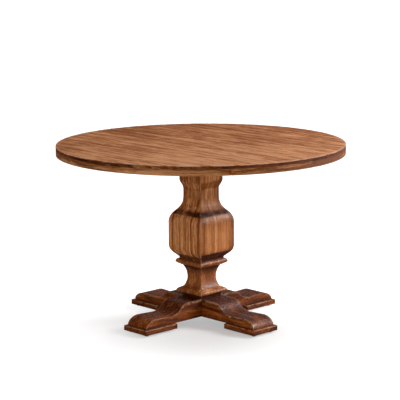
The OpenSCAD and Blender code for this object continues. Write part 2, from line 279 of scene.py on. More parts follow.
class Bench:
    """Adds nodes to one tree."""

    def __init__(self, tree: bpy.types.NodeTree) -> None:
        """Keeps the tree."""
        self.tree = tree

    def node(
        self, kind: str, settings: dict | None = None, inputs: dict | None = None
    ) -> bpy.types.Node:
        """Adds any node.

        Args:
            kind: The node's type name.
            settings: Its properties, set first; "stops" gives a colour ramp's stops.
            inputs: Values or links by the socket's name or number.

        Returns:
            The new node.
        """
        made = self.tree.nodes.new(kind)
        for key, setting in (settings or {}).items():
            if key == "stops":
                self._set_stops(made.color_ramp, setting)
            else:
                setattr(made, key, setting)
        for key, given in (inputs or {}).items():
            socket = made.inputs[key]
            if isinstance(given, (Value, Tint)):
                self.tree.links.new(given.socket, socket)
            elif isinstance(given, bpy.types.NodeSocket):
                self.tree.links.new(given, socket)
            elif socket.type == "RGBA" and len(given) == 3:
                socket.default_value = (*given, 1.0)
            else:
                socket.default_value = given
        return made

    @staticmethod
    def _set_stops(ramp: bpy.types.ColorRamp, stops: Sequence[tuple[float, Colour]]) -> None:
        """Sets a colour ramp's stops.

        Args:
            ramp: The ramp.
            stops: Each stop's place and colour, in order of place.
        """
        while len(ramp.elements) < len(stops):
            ramp.elements.new(1.0)
        for element, (place, colour) in zip(ramp.elements, stops):
            element.position = place
            element.color = (*colour, 1.0)

    def split(self, vector: bpy.types.NodeSocket) -> tuple[Value, Value, Value]:
        """Takes a vector apart.

        Args:
            vector: Where the vector comes from.

        Returns:
            Its three parts.
        """
        made = self.node("ShaderNodeSeparateXYZ", inputs={0: vector})
        x, y, z = (Value(self, made.outputs[i]) for i in range(3))
        return x, y, z

    def joined(self, x: Value | float, y: Value | float, z: Value | float) -> bpy.types.NodeSocket:
        """A vector from three numbers."""
        return self.node("ShaderNodeCombineXYZ", inputs={0: x, 1: y, 2: z}).outputs[0]


class Shader(Bench):
    """Builds one material."""

    def __init__(self, name: str) -> None:
        """Starts an empty material.

        Args:
            name: Its name.
        """
        self.material = bpy.data.materials.new(name)
        self.material.use_nodes = True
        super().__init__(self.material.node_tree)
        self.tree.nodes.clear()

    def place(self) -> bpy.types.NodeSocket:
        """The point on the object, in its own coordinates."""
        return self.node("ShaderNodeTexCoord").outputs["Object"]

    def painted(self, mask: Mask) -> Value:
        """A mask that is painted on the mesh as an attribute."""
        made = self.node("ShaderNodeAttribute", {"attribute_name": mask.value})
        return Value(self, made.outputs["Fac"])

    def cloud(
        self, at: bpy.types.NodeSocket, scale: float, detail: float = 3.0, rough: float = 0.55
    ) -> Value:
        """Soft noise.

        Args:
            at: Where it is read.
            scale: How many lumps there are to a unit.
            detail: How many finer layers lie on it.
            rough: How strong those layers are.

        Returns:
            A number from 0 to 1, mostly near a half.
        """
        made = self.node(
            "ShaderNodeTexNoise",
            {"noise_dimensions": "3D"},
            {"Vector": at, "Scale": scale, "Detail": detail, "Roughness": rough},
        )
        return Value(self, made.outputs["Fac"])

    def graded(self, share: Value, stops: Sequence[tuple[float, Colour]]) -> Tint:
        """A colour read from a ramp."""
        made = self.node("ShaderNodeValToRGB", {"stops": stops}, {"Fac": share})
        return Tint(self, made.outputs["Color"])

    def bumped(self, height: Value, depth: float) -> bpy.types.NodeSocket:
        """A normal that is tilted by a height of so many metres."""
        return self.node("ShaderNodeBump", inputs={"Height": height, "Distance": depth}).outputs[0]

    def finish(self, **inputs: object) -> bpy.types.Material:
        """Ends the tree in a Principled shader.

        Args:
            inputs: The shader's sockets, with _ for each space in their names.

        Returns:
            The finished material.
        """
        named = {key.replace("_", " "): given for key, given in inputs.items()}
        surface = self.node("ShaderNodeBsdfPrincipled", inputs=named)
        self.node("ShaderNodeOutputMaterial", inputs={"Surface": surface.outputs[0]})
        return self.material


# ---------------------------------------------------------------- finishes


# lumps of noise to a metre that every wood shares
DRIFT_SCALE = 5.0
BLOTCH_SCALE = 7.0
PATCH_SCALE = 38.0
PIT_SCALE = 130.0
# how much finer the pores are than the fibres
PORE_FINENESS = 2.6
# how much each layer of noise counts in the figure
BROAD_WEIGHT, STREAK_WEIGHT, FIBRE_WEIGHT, BLOTCH_WEIGHT = 0.7, 0.95, 0.35, 0.3
# where the dark, middle and light colours lie in the figure
DARK_AT, MIDDLE_AT, LIGHT_AT = 0.18, 0.5, 0.82
# how far along X, Y and Z a board's own number moves its grain
BOARD_SHIFT = (3.7, 1.9, 2.3)


@dataclass(frozen=True)
class WoodFinish:
    """Waxed hardwood: streaks and pores along the grain, dark glazing in joints and painted shade
    in creases and under overhangs, rubbed arrises.
    """

    name: str
    grain: Axis
    dark: Colour
    middle: Colour
    light: Colour
    # one dark colour, for the glazing in joints and for the painted shade
    glaze: Colour = (0.040, 0.0065, 0.0016)
    rubbed: Colour = (0.42, 0.21, 0.11)
    broad: float = 30.0
    streak: float = 130.0
    fibre: float = 520.0
    stretch: float = 16.0
    contrast: float = 1.0
    sheen: float = 0.45
    specular: float = 0.5
    relief: float = 0.25 * MM
    pitting: float = 0.0
    mottle: float = 0.16
    wander: float = 14 * MM

    def _along_grain(self, shader: Shader) -> tuple[bpy.types.NodeSocket, bpy.types.NodeSocket]:
        """Where a point lies, squeezed along the grain and moved by the board's own number.

        Args:
            shader: The material that is being built.

        Returns:
            The squeezed place for streaks, and the plain place for blotches.
        """
        board = shader.painted(Mask.BOARD)
        x, y, z = shader.split(shader.place())
        if self.grain is Axis.ROUND:
            reach = shader.node(
                "ShaderNodeVectorMath", {"operation": "LENGTH"}, {0: shader.joined(x, y, 0.0)}
            )
            x, y = y.angle_from(x) * TOP_RADIUS, Value(shader, reach.outputs["Value"])
            lengths = (1.0 / self.stretch, 1.0, 1.0)
        else:
            lengths = tuple(1.0 / self.stretch if part else 1.0 for part in self.grain.value)
        shifted = [part + board * shift for part, shift in zip((x, y, z), BOARD_SHIFT)]
        plain = shader.joined(*shifted)
        drift = shader.cloud(plain, DRIFT_SCALE, 2.0) * self.wander
        squeezed = [part * length + (drift if length == 1.0 else 0.0)
                    for part, length in zip(shifted, lengths)]
        return shader.joined(*squeezed), plain

    def build(self) -> bpy.types.Material:
        """Builds the finish.

        Returns:
            The material.
        """
        shader = Shader(self.name)
        along, plain = self._along_grain(shader)
        broad = shader.cloud(along, self.broad, 2.0, 0.5)
        streak = shader.cloud(along, self.streak, 3.0, 0.6)
        fibre = shader.cloud(along, self.fibre, 2.0, 0.6)
        blotch = shader.cloud(plain, BLOTCH_SCALE, 3.0, 0.6)
        figure = (
            (broad - 0.5) * BROAD_WEIGHT + (streak - 0.5) * STREAK_WEIGHT
            + (fibre - 0.5) * FIBRE_WEIGHT + (blotch - 0.5) * BLOTCH_WEIGHT
        ) * self.contrast * (1.0 - shader.painted(Mask.CALM)) + 0.5
        # the tone mask carries the wood's own tone, and also painted sheen and painted shade
        figure = figure + shader.painted(Mask.TONE) - shader.painted(Mask.STAIN) * (0.5 + streak)
        pore = shader.cloud(along, self.fibre * PORE_FINENESS, 1.0, 0.5).ramp(0.63, 0.72)
        colour = shader.graded(
            figure, [(DARK_AT, self.dark), (MIDDLE_AT, self.middle), (LIGHT_AT, self.light)]
        ).scaled(1.0 - pore * 0.3)
        patchy = shader.cloud(plain, PATCH_SCALE, 3.0, 0.65)
        # dark glazing in joints, and painted shade in creases, under overhangs and along the floor
        glazed_and_shaded = (shader.painted(Mask.GLAZE) * (0.45 + patchy * 1.1)).held()
        rubbed = (shader.painted(Mask.WEAR) * patchy.ramp(0.32, 0.62) * 0.8).held()
        colour = colour.mixed(self.glaze, glazed_and_shaded).mixed(self.rubbed, rubbed)
        pits = shader.cloud(plain, PIT_SCALE, 2.0, 0.6)
        spots = pits.ramp(0.42, 0.58) - 0.5
        uneven = ((patchy - 0.5) * 0.8 + spots * 0.5) * self.mottle
        rough = self.sheen + uneven + pore * 0.15 + glazed_and_shaded * 0.08
        colour = colour.scaled(1.0 - spots * self.mottle * 0.25)
        relief = fibre * 0.5 + streak * 0.5 - pore * 0.8 + pits * self.pitting
        return shader.finish(
            Base_Color=colour,
            Roughness=rough,
            Specular_IOR_Level=self.specular,
            Normal=shader.bumped(relief, self.relief),
        )


@dataclass(frozen=True)
class SteelFinish:
    """Plain steel with faint turning marks and dull spots."""

    name: str
    colour: Colour
    tarnish: Colour
    metal: float
    rough: float
    relief: float = 0.05 * MM

    def build(self) -> bpy.types.Material:
        """Builds the finish.

        Returns:
            The material.
        """
        shader = Shader(self.name)
        at = shader.place()
        spots = shader.cloud(at, 140.0, 4.0, 0.65)
        marks = shader.cloud(at, 900.0, 2.0, 0.5)
        colour = shader.graded(spots, [(0.3, self.tarnish), (0.6, self.colour)])
        return shader.finish(
            Base_Color=colour,
            Metallic=self.metal,
            Roughness=self.rough + (spots - 0.5) * 0.25,
            Normal=shader.bumped(marks, self.relief),
        )


# ---------------------------------------------------------------- outlines and meshes


def arc(centre: Point2, rx: float, ry: float, start: float, end: float, steps: int) -> list[Point2]:
    """Points along a circle or an upright oval.

    Args:
        centre: Its middle.
        rx: Its level radius.
        ry: Its upright radius.
        start: First angle, in degrees.
        end: Last angle, in degrees.
        steps: How many chords.

    Returns:
        The points, both ends among them.
    """
    angles = np.radians(np.linspace(start, end, steps + 1))
    return [(centre[0] + rx * math.cos(a), centre[1] + ry * math.sin(a)) for a in angles]


def both_sides(half: Sequence[Point2]) -> list[Point2]:
    """An outline closed by its own mirror image, anticlockwise."""
    return [*half, *[(-x, y) for x, y in reversed(half)]]


def without_repeats(points: Sequence[Point2]) -> list[Point2]:
    """An outline with no point twice in a row."""
    return [p for i, p in enumerate(points) if math.dist(p, points[i - 1]) > SNUG]


def refined(points: Sequence[Point2], step: float) -> list[Point2]:
    """Puts more points on an open line.

    Args:
        points: The line's points.
        step: The longest gap that is left.

    Returns:
        The line with the new points in it.
    """
    made: list[Point2] = [points[0]]
    for start, end in zip(points, points[1:]):
        parts = max(1, math.ceil(math.dist(start, end) / step))
        made += [
            (start[0] + (end[0] - start[0]) * i / parts, start[1] + (end[1] - start[1]) * i / parts)
            for i in range(1, parts + 1)
        ]
    return made


def add_object(name: str, data: bpy.types.ID) -> bpy.types.Object:
    """Puts an object with this data into the scene.

    Args:
        name: The object's name.
        data: Its mesh, lamp or camera.

    Returns:
        The object.
    """
    added = bpy.data.objects.new(name, data)
    bpy.context.scene.collection.objects.link(added)
    return added


def make_object(
    name: str, points: Sequence[Sequence[float]], faces: Sequence[Sequence[int]]
) -> bpy.types.Object:
    """A mesh object in the scene.

    Args:
        name: The piece's name.
        points: Its corners.
        faces: Its faces, as corner numbers.

    Returns:
        The object.
    """
    mesh = bpy.data.meshes.new(name)
    mesh.from_pydata([tuple(map(float, p)) for p in points], [], [list(map(int, f)) for f in faces])
    mesh.update()
    return add_object(name, mesh)


def settled(piece: bpy.types.Object) -> None:
    """Turns what a piece's modifiers make into its plain mesh, and removes them.

    Args:
        piece: The piece.
    """
    bpy.context.view_layer.update()
    graph = bpy.context.evaluated_depsgraph_get()
    made = bpy.data.meshes.new_from_object(piece.evaluated_get(graph), depsgraph=graph)
    old = piece.data
    piece.modifiers.clear()
    piece.data = made
    bpy.data.meshes.remove(old)
    made.name = piece.name


def cleaned(piece: bpy.types.Object) -> None:
    """Merges doubled corners and turns every face outwards.

    Args:
        piece: The piece.
    """
    work = bmesh.new()
    work.from_mesh(piece.data)
    bmesh.ops.remove_doubles(work, verts=work.verts, dist=WELD)
    bmesh.ops.dissolve_degenerate(work, edges=work.edges, dist=HAIR)
    bmesh.ops.recalc_face_normals(work, faces=work.faces)
    work.to_mesh(piece.data)
    work.free()
    piece.data.update()


def corners(piece: bpy.types.Object) -> np.ndarray:
    """Reads where a piece's corners are.

    Args:
        piece: The piece.

    Returns:
        The corners, one row each.
    """
    flat = np.empty(len(piece.data.vertices) * 3)
    piece.data.vertices.foreach_get("co", flat)
    return flat.reshape(-1, 3)


def paint(piece: bpy.types.Object, mask: Mask, amounts: np.ndarray | float) -> None:
    """Paints a mask on a piece's corners.

    Args:
        piece: The piece.
        mask: Which mask it is.
        amounts: One number for each corner, or one for all.
    """
    mesh = piece.data
    layer = mesh.attributes.new(mask.value, "FLOAT", "POINT")
    full = np.broadcast_to(np.asarray(amounts, np.float32), (len(mesh.vertices),))
    layer.data.foreach_set("value", np.ascontiguousarray(full))


def near(distance: np.ndarray, reach: float) -> np.ndarray:
    """1 at no distance or less, falling away over the reach."""
    return np.exp(-np.square(np.maximum(distance, 0.0) / reach))


@dataclass(frozen=True)
class Band:
    """A band that is at full strength between two places and falls away outside them."""

    low: float
    high: float
    fade_in: float
    fade_out: float
    strength: float = 1.0

    def amount(self, place: np.ndarray) -> np.ndarray:
        """How much of the band lies at each place."""
        inside = near(self.low - place, self.fade_in) * near(place - self.high, self.fade_out)
        return inside * self.strength


def lumps(points: np.ndarray, size: float, seed: float) -> np.ndarray:
    """Smooth noise from 0 to 1 at many points.

    Args:
        points: Where it is read.
        size: The size of a lump.
        seed: Which noise it is.

    Returns:
        One number for each point.
    """
    shift = Vector((seed, seed * 1.7, seed * 0.6))
    return np.array([0.5 + 0.5 * noise.noise(Vector(p) / size + shift) for p in points])


# the hollows of hand work and the nicks of wear
SLOW_LUMP, QUICK_LUMP = 60 * MM, 14 * MM


def handworked(piece: bpy.types.Object, flat: float, arris: float, seed: float) -> None:
    """Takes a little off a piece's surface, as hand tools and years of use do.

    Args:
        piece: The piece, with its wear painted on.
        flat: The most that comes off a face.
        arris: The most that comes off where wear is full.
        seed: Which noise it is.
    """
    mesh = piece.data
    at = corners(piece)
    normals = np.array([v.normal for v in mesh.vertices])
    wear = np.empty(len(at), np.float32)
    mesh.attributes[Mask.WEAR.value].data.foreach_get("value", wear)
    slow, quick = lumps(at, SLOW_LUMP, seed), lumps(at, QUICK_LUMP, seed + 5)
    taken = flat * slow + arris * wear * np.clip(quick * 1.8 - 0.6, 0.0, 1.0)
    moved = at - normals * taken[:, None]
    mesh.vertices.foreach_set("co", moved.ravel())
    mesh.update()


def sink(piece: bpy.types.Object, depths: np.ndarray) -> None:
    """Lowers a piece's corners.

    Args:
        piece: The piece.
        depths: How far each corner goes down.
    """
    at = corners(piece)
    at[:, 2] -= depths
    piece.data.vertices.foreach_set("co", at.ravel())
    piece.data.update()


def shaded(piece: bpy.types.Object) -> None:
    """Shades a piece smooth, with its flat faces kept flat.

    Args:
        piece: The piece.
    """
    piece.data.shade_smooth()
    piece.data.set_sharp_from_angle(angle=SHARP_ANGLE)
    modifier = piece.modifiers.new("flat_faces", "WEIGHTED_NORMAL")
    modifier.keep_sharp = True
    settled(piece)


class Stock:
    """A piece of timber on the bench: sawn from an outline, eased, and ruled into small faces."""

    def __init__(self, outline: Sequence[Point2], low: float, high: float) -> None:
        """Saws the piece.

        Args:
            outline: Its outline, anticlockwise.
            low: Where the piece begins across the outline.
            high: Where it ends.
        """
        self.work = bmesh.new()
        outline = without_repeats(outline)
        under = [self.work.verts.new((x, y, low)) for x, y in outline]
        over = [self.work.verts.new((x, y, high)) for x, y in outline]
        self.work.faces.new(list(reversed(under)))
        self.work.faces.new(over)
        for i in range(len(outline)):
            self.work.faces.new((under[i - 1], under[i], over[i], over[i - 1]))
        self.low, self.high = low, high

    def _rim(self, wanted: Callable[[Vector], bool]) -> list[bmesh.types.BMEdge]:
        """Finds edges round the two flat ends.

        Args:
            wanted: Says whether an edge with this middle is wanted.

        Returns:
            The wanted edges.
        """
        ends = {round(self.low, 7), round(self.high, 7)}
        found = []
        for edge in self.work.edges:
            levels = {round(v.co.z, 7) for v in edge.verts}
            middle = (edge.verts[0].co + edge.verts[1].co) / 2
            if len(levels) == 1 and levels <= ends and wanted(middle):
                found.append(edge)
        return found

    def ease(self, width: float, steps: int, wanted: Callable[[Vector], bool]) -> "Stock":
        """Rounds the arrises round the flat ends.

        Args:
            width: How far the rounding reaches.
            steps: How many faces it has.
            wanted: Says whether an edge with this middle is rounded.

        Returns:
            The stock.
        """
        bmesh.ops.bevel(
            self.work, geom=self._rim(wanted), offset=width, offset_type="OFFSET", segments=steps,
            profile=0.5, affect="EDGES", clamp_overlap=True,
        )
        return self

    def rule(self, axis: int, places: Sequence[float]) -> "Stock":
        """Cuts the faces, not the solid, at places along an axis.

        Args:
            axis: 0, 1 or 2.
            places: Where the cuts lie.

        Returns:
            The stock.
        """
        across = Vector([float(i == axis) for i in range(3)])
        for place in places:
            everything = [*self.work.verts, *self.work.edges, *self.work.faces]
            bmesh.ops.bisect_plane(
                self.work, geom=everything, dist=HAIR, plane_co=across * place, plane_no=across
            )
        return self

    def off_bench(self, name: str, turn: Matrix | None = None) -> bpy.types.Object:
        """Finishes the piece.

        Args:
            name: Its name.
            turn: Where it goes, if not where it was sawn.

        Returns:
            The object, with its place in its mesh.
        """
        if turn is not None:
            bmesh.ops.transform(self.work, matrix=turn, verts=self.work.verts)
        bmesh.ops.recalc_face_normals(self.work, faces=self.work.faces)
        mesh = bpy.data.meshes.new(name)
        self.work.to_mesh(mesh)
        self.work.free()
        return add_object(name, mesh)


def evenly(low: float, high: float, step: float, margin: float = 0.0) -> list[float]:
    """Places between two ends, about a step apart, with one more close to each end.

    Args:
        low: The lower end.
        high: The upper end.
        step: The space between places.
        margin: How far in from the ends the outer places lie.

    Returns:
        The places.
    """
    count = max(1, round((high - low - 2 * margin) / step))
    return list(np.linspace(low + margin, high - margin, count + 1))


# upright outlines are drawn as (along, up) and stood on edge: across the outline becomes sideways
ON_EDGE_X = Matrix(((1, 0, 0, 0), (0, 0, -1, 0), (0, 1, 0, 0), (0, 0, 0, 1)))


def join_frame(
    piece: bpy.types.Object, nodes: Sequence[str], material: bpy.types.Material
) -> None:
    """Puts a finished piece in the place of its frame nodes.

    Args:
        piece: The finished piece.
        nodes: The nodes that it stands for.
        material: Its finish.
    """
    piece.data.materials.clear()
    piece.data.materials.append(material)
    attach(piece, BODY)
    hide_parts(*nodes)
    count = len(piece.data.vertices)
    LOG.info("%s: %d corners, stands for %s", piece.name, count, ", ".join(nodes))


def heights(node: str) -> tuple[float, float]:
    """The lowest and highest level of a frame node."""
    low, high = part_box(node)
    return low.z, high.z


def half_and_height(node: str) -> tuple[float, float]:
    """The half width and the height of a square frame node."""
    low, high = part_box(node)
    return high.x, high.z - low.z


# a little inside the frame's own circle, so that no corner stands out of its box
TOP_RADIUS = min(CAD_HIGH.x - CAD_LOW.x, CAD_HIGH.y - CAD_LOW.y) / 2 - 0.02 * MM


# ---------------------------------------------------------------- the top


@dataclass(frozen=True)
class Streak:
    """A dark streak in the top's grain."""

    x: float
    y: float
    length: float
    width: float
    strength: float

    def amount(self, at: np.ndarray) -> np.ndarray:
        """How much of the streak lies at each point."""
        return self.strength * near(np.abs(at[:, 0] - self.x), self.length) * near(
            np.abs(at[:, 1] - self.y), self.width
        )


@dataclass(frozen=True)
class EdgePatch:
    """A darker patch on the top's edge, or a lighter one."""

    angle: float
    reach: float
    strength: float

    def amount(self, angles: np.ndarray) -> np.ndarray:
        """How much of the patch lies at each angle round the top, in degrees."""
        return self.strength * near(np.abs((angles - self.angle + 180) % 360 - 180), self.reach)


@dataclass
class PlankedTop:
    """The round top: planks glued edge to edge, with a segmented rim glued under their ends."""

    planks: int = 9
    segments: int = 10
    rim_width: float = 90 * MM
    rim_turn: float = 3.6
    ease: float = 3.0 * MM
    rim_ease: float = 2.2 * MM
    groove: float = 0.25 * MM
    rim_gap: float = 0.15 * MM
    cuts_across: float = 5 * MM
    cuts_along: float = 20 * MM
    cuts_to: float = 0.6
    arc_step: float = 1.5
    plank_board: float = 0.37
    rim_board: Point2 = (0.53, 7.0)
    right_shade_reach: float = 0.25
    joint_reach: float = 0.12
    planed: Point2 = (0.12 * MM, 1.1 * MM)
    rim_planed: Point2 = (0.1 * MM, 0.8 * MM)
    plank_tones: tuple[float, ...] = (-0.02, 0.03, 0.0, 0.04, -0.02, 0.02, -0.03, 0.01, -0.04)
    segment_tones: tuple[float, ...] = (
        -0.08, -0.05, 0.05, -0.02, 0.03, -0.04, -0.04, -0.12, 0.12, -0.1
    )
    # painted sheen: the planks are lighter towards the front and darker towards the back
    sheen_way: Point2 = (0.72, -0.69)
    painted_sheen: float = 0.2
    streaks: tuple[Streak, ...] = (
        Streak(-0.36, 0.04, 0.20, 0.012, 0.34),
        Streak(-0.37, -0.07, 0.12, 0.014, 0.30),
        Streak(0.11, 0.116, 0.12, 0.012, 0.30),
        Streak(0.43, -0.093, 0.17, 0.012, 0.32),
        Streak(-0.248, 0.209, 0.03, 0.012, 0.45),
        Streak(0.046, 0.201, 0.03, 0.012, 0.40),
        Streak(-0.07, 0.418, 0.06, 0.012, 0.36),
        Streak(0.31, 0.387, 0.07, 0.012, 0.36),
        Streak(0.24, 0.400, 0.16, 0.050, 0.10),
        Streak(0.11, -0.100, 0.13, 0.060, 0.10),
        Streak(-0.22, -0.10, 0.10, 0.050, 0.06),
    )
    plank_patches: tuple[EdgePatch, ...] = (
        EdgePatch(-108.0, 7.0, -0.25),
        EdgePatch(-92.0, 9.0, 0.60),
        EdgePatch(-76.0, 5.0, 0.15),
        EdgePatch(-62.0, 6.0, -0.25),
        EdgePatch(-34.0, 6.0, 0.20),
        EdgePatch(-8.0, 7.0, 0.30),
        EdgePatch(7.0, 8.0, 0.60),
        EdgePatch(22.0, 7.0, 0.25),
    )
    rim_patches: tuple[EdgePatch, ...] = (
        EdgePatch(-60.0, 9.0, -0.26),
        EdgePatch(-43.0, 10.0, -0.16),
        EdgePatch(7.0, 8.0, 0.30),
        EdgePatch(22.0, 7.0, 0.12),
    )

    @staticmethod
    def _round_place(at: np.ndarray) -> tuple[np.ndarray, np.ndarray]:
        """Each point's angle round the top, in degrees, and how far in from the edge it lies."""
        angle = np.degrees(np.arctan2(at[:, 1], at[:, 0]))
        return angle, TOP_RADIUS - np.hypot(at[:, 0], at[:, 1])

    def _right_end_shade(self, at: np.ndarray) -> np.ndarray:
        """How much painted shade the right end takes: 1 at the top's right end, falling away
        towards the middle.
        """
        return near(1.0 - at[:, 0] / TOP_RADIUS, self.right_shade_reach)

    def _plank_outline(self, low: float, high: float) -> list[Point2]:
        """Draws one plank, cut to the circle between two lines.

        Args:
            low: The line on its front side.
            high: The line on its back side.

        Returns:
            The outline.
        """
        a, b = (math.degrees(math.asin(max(-1.0, min(1.0, y / TOP_RADIUS)))) for y in (low, high))
        steps = max(6, round((b - a) / self.arc_step))
        right = arc((0, 0), TOP_RADIUS, TOP_RADIUS, a, b, steps)
        left = arc((0, 0), TOP_RADIUS, TOP_RADIUS, 180 - b, 180 - a, steps)
        return [*right, *left]

    def _make_plank(self, number: int, material: bpy.types.Material) -> None:
        """Saws, eases, paints and lays one plank.

        Args:
            number: The plank's number, from 1 at the front.
            material: Its finish.
        """
        name = f"top_plank_{number}"
        under, over = heights(name)
        width = 2 * TOP_RADIUS / self.planks
        low = -TOP_RADIUS + width * (number - 1)
        high = low + width
        stock = Stock(self._plank_outline(low, high), under, over)
        seams = [y for y in (low, high) if abs(y) < TOP_RADIUS - MM]

        def at_outer_edge(at: Vector) -> bool:
            """Whether an edge lies on top, and not along a seam."""
            return at.z > under + MM and not any(abs(at.y - y) < SNUG for y in seams)

        stock.ease(self.ease, 4, at_outer_edge)
        stock.rule(1, evenly(low, high, self.cuts_across, 1.5 * MM))
        stock.rule(0, evenly(-self.cuts_to, self.cuts_to, self.cuts_along))
        stock.rule(2, evenly(under, over - self.ease, 3 * MM, 0.8 * MM))
        piece = stock.off_bench(name)
        cleaned(piece)
        at = corners(piece)
        angle, out = self._round_place(at)
        face = at[:, 2] > over - 0.2 * MM
        wall = (out < 0.3 * MM) & ~face
        to_seam = np.min([np.abs(at[:, 1] - y) for y in seams], axis=0)
        paint(piece, Mask.BOARD, number * self.plank_board)
        low_on_wall = near(at[:, 2] - (over - 0.8 * self.ease), 0.4 * MM)
        paint(piece, Mask.WEAR, near(out, 3.5 * MM) * (1.0 - low_on_wall))
        patchy = sum(patch.amount(angle) for patch in self.plank_patches)
        ragged = 0.25 + 0.7 * lumps(at * (1, 1, 3), 30 * MM, number) + 0.8 * patchy
        ragged = np.clip(ragged, 0.0, 1.0)
        paint(piece, Mask.GLAZE, wall * low_on_wall * ragged + face * near(to_seam, 0.8 * MM) * 0.5)
        # painted sheen, lighter towards the front
        towards_sheen = (at[:, :2] @ np.array(self.sheen_way)) / TOP_RADIUS
        # the wall is darker low down by the joint and in patches, with painted shade added towards
        # the right end
        edge_tone_and_shade = (0.3 + 0.6 * self._right_end_shade(at) + 0.3 * patchy) * wall * low_on_wall
        paint(piece, Mask.TONE, self.plank_tones[number - 1] + self.painted_sheen * towards_sheen - edge_tone_and_shade)
        paint(piece, Mask.STAIN, face * sum(s.amount(at) for s in self.streaks))
        sink(piece, face * near(to_seam, 0.3 * MM) * self.groove)
        handworked(piece, *self.planed, number * 3.1)
        shaded(piece)
        join_frame(piece, [name], material)

    def _make_segment(self, number: int, material: bpy.types.Material) -> None:
        """Saws, eases, paints and glues on one segment of the rim.

        Args:
            number: The segment's number.
            material: Its finish.
        """
        name = f"rim_segment_{number}"
        under, over = heights(name)
        span = 360 / self.segments
        first = self.rim_turn + span * (number - 1)
        inner = TOP_RADIUS - self.rim_width
        gap = math.degrees(self.rim_gap / TOP_RADIUS)
        outline = [
            *arc((0, 0), TOP_RADIUS, TOP_RADIUS, first + gap, first + span - gap, 24),
            *arc((0, 0), inner, inner, first + span - gap, first + gap, 24),
        ]

        def underneath(at: Vector) -> bool:
            """Whether an edge lies on the underside."""
            return at.z < over - MM

        stock = Stock(outline, under, over).ease(self.rim_ease, 3, underneath)
        stock.rule(2, evenly(under, over, self.cuts_across, 1.5 * MM))
        piece = stock.off_bench(name)
        cleaned(piece)
        at = corners(piece)
        angle, out = self._round_place(at)
        to_joint = np.abs((angle - self.rim_turn + span / 2) % span - span / 2)
        paint(piece, Mask.BOARD, number * self.rim_board[0] + self.rim_board[1])
        paint(piece, Mask.WEAR, near(out, 3 * MM) * near(at[:, 2] - under, 2 * MM) * 0.6)
        joint = near(to_joint, self.joint_reach)
        paint(piece, Mask.GLAZE, joint * 0.2 + near(over - at[:, 2], 1.5 * MM) * 0.5)
        patchy = sum(patch.amount(angle) for patch in self.rim_patches)
        # painted shade: the rim is darker towards its right end
        tone = self.segment_tones[number - 1] - 0.3 * self._right_end_shade(at) - patchy
        paint(piece, Mask.TONE, tone)
        paint(piece, Mask.STAIN, 0.0)
        handworked(piece, *self.rim_planed, number * 1.3)
        shaded(piece)
        join_frame(piece, [name], material)

    def build(self, face: bpy.types.Material, edge: bpy.types.Material) -> None:
        """Builds the planks and the rim.

        Args:
            face: The planks' finish.
            edge: The rim's finish.
        """
        for number in range(1, self.planks + 1):
            self._make_plank(number, face)
        for number in range(1, self.segments + 1):
            self._make_segment(number, edge)


# ---------------------------------------------------------------- rules for what repeats


class Rule(Bench):
    """Builds one Geometry Nodes tree and makes pieces with it."""

    def __init__(self, name: str, sizes: dict[str, float]) -> None:
        """Starts a tree.

        Args:
            name: The tree's name.
            sizes: Its named inputs and what they are by default; a whole number makes a count.
        """
        super().__init__(bpy.data.node_groups.new(name, "GeometryNodeTree"))
        face = self.tree.interface
        face.new_socket("Geometry", in_out="INPUT", socket_type="NodeSocketGeometry")
        for size, given in sizes.items():
            kind = "NodeSocketInt" if isinstance(given, int) else "NodeSocketFloat"
            face.new_socket(size, in_out="INPUT", socket_type=kind).default_value = given
        face.new_socket("Material", in_out="INPUT", socket_type="NodeSocketMaterial")
        face.new_socket("Geometry", in_out="OUTPUT", socket_type="NodeSocketGeometry")
        self.inputs = self.node("NodeGroupInput").outputs
        self.build()

    def size(self, name: str) -> Value:
        """One of the tree's named sizes."""
        return Value(self, self.inputs[name])

    def made(
        self, kind: str, settings: dict | None = None, inputs: dict | None = None
    ) -> bpy.types.NodeSocket:
        """The first result of a new node."""
        return self.node(kind, settings, inputs).outputs[0]

    def build(self) -> None:
        """Builds the tree. Each rule has its own."""
        raise NotImplementedError

    def end(self, shape: bpy.types.NodeSocket) -> None:
        """Ends the tree: real geometry, with its finish on it.

        Args:
            shape: What the rule has made.
        """
        real = self.made("GeometryNodeRealizeInstances", inputs={0: shape})
        dressed = self.made(
            "GeometryNodeSetMaterial",
            inputs={"Geometry": real, "Material": self.inputs["Material"]},
        )
        self.node("NodeGroupOutput", inputs={0: dressed})

    def apply(
        self, piece: bpy.types.Object, material: bpy.types.Material, **sizes: float
    ) -> None:
        """Makes a piece's plain mesh by the rule.

        Args:
            piece: The piece, whose mesh is what the rule starts from.
            material: Its finish.
            sizes: The named sizes that differ from the defaults, with _ for each space.
        """
        modifier = piece.modifiers.new("rule", "NODES")
        modifier.node_group = self.tree
        sockets = {item.name: item.identifier for item in self.tree.interface.items_tree
                   if item.in_out == "INPUT"}
        modifier[sockets["Material"]] = material
        for size, given in sizes.items():
            modifier[sockets[size.replace("_", " ")]] = given
        settled(piece)
        cleaned(piece)


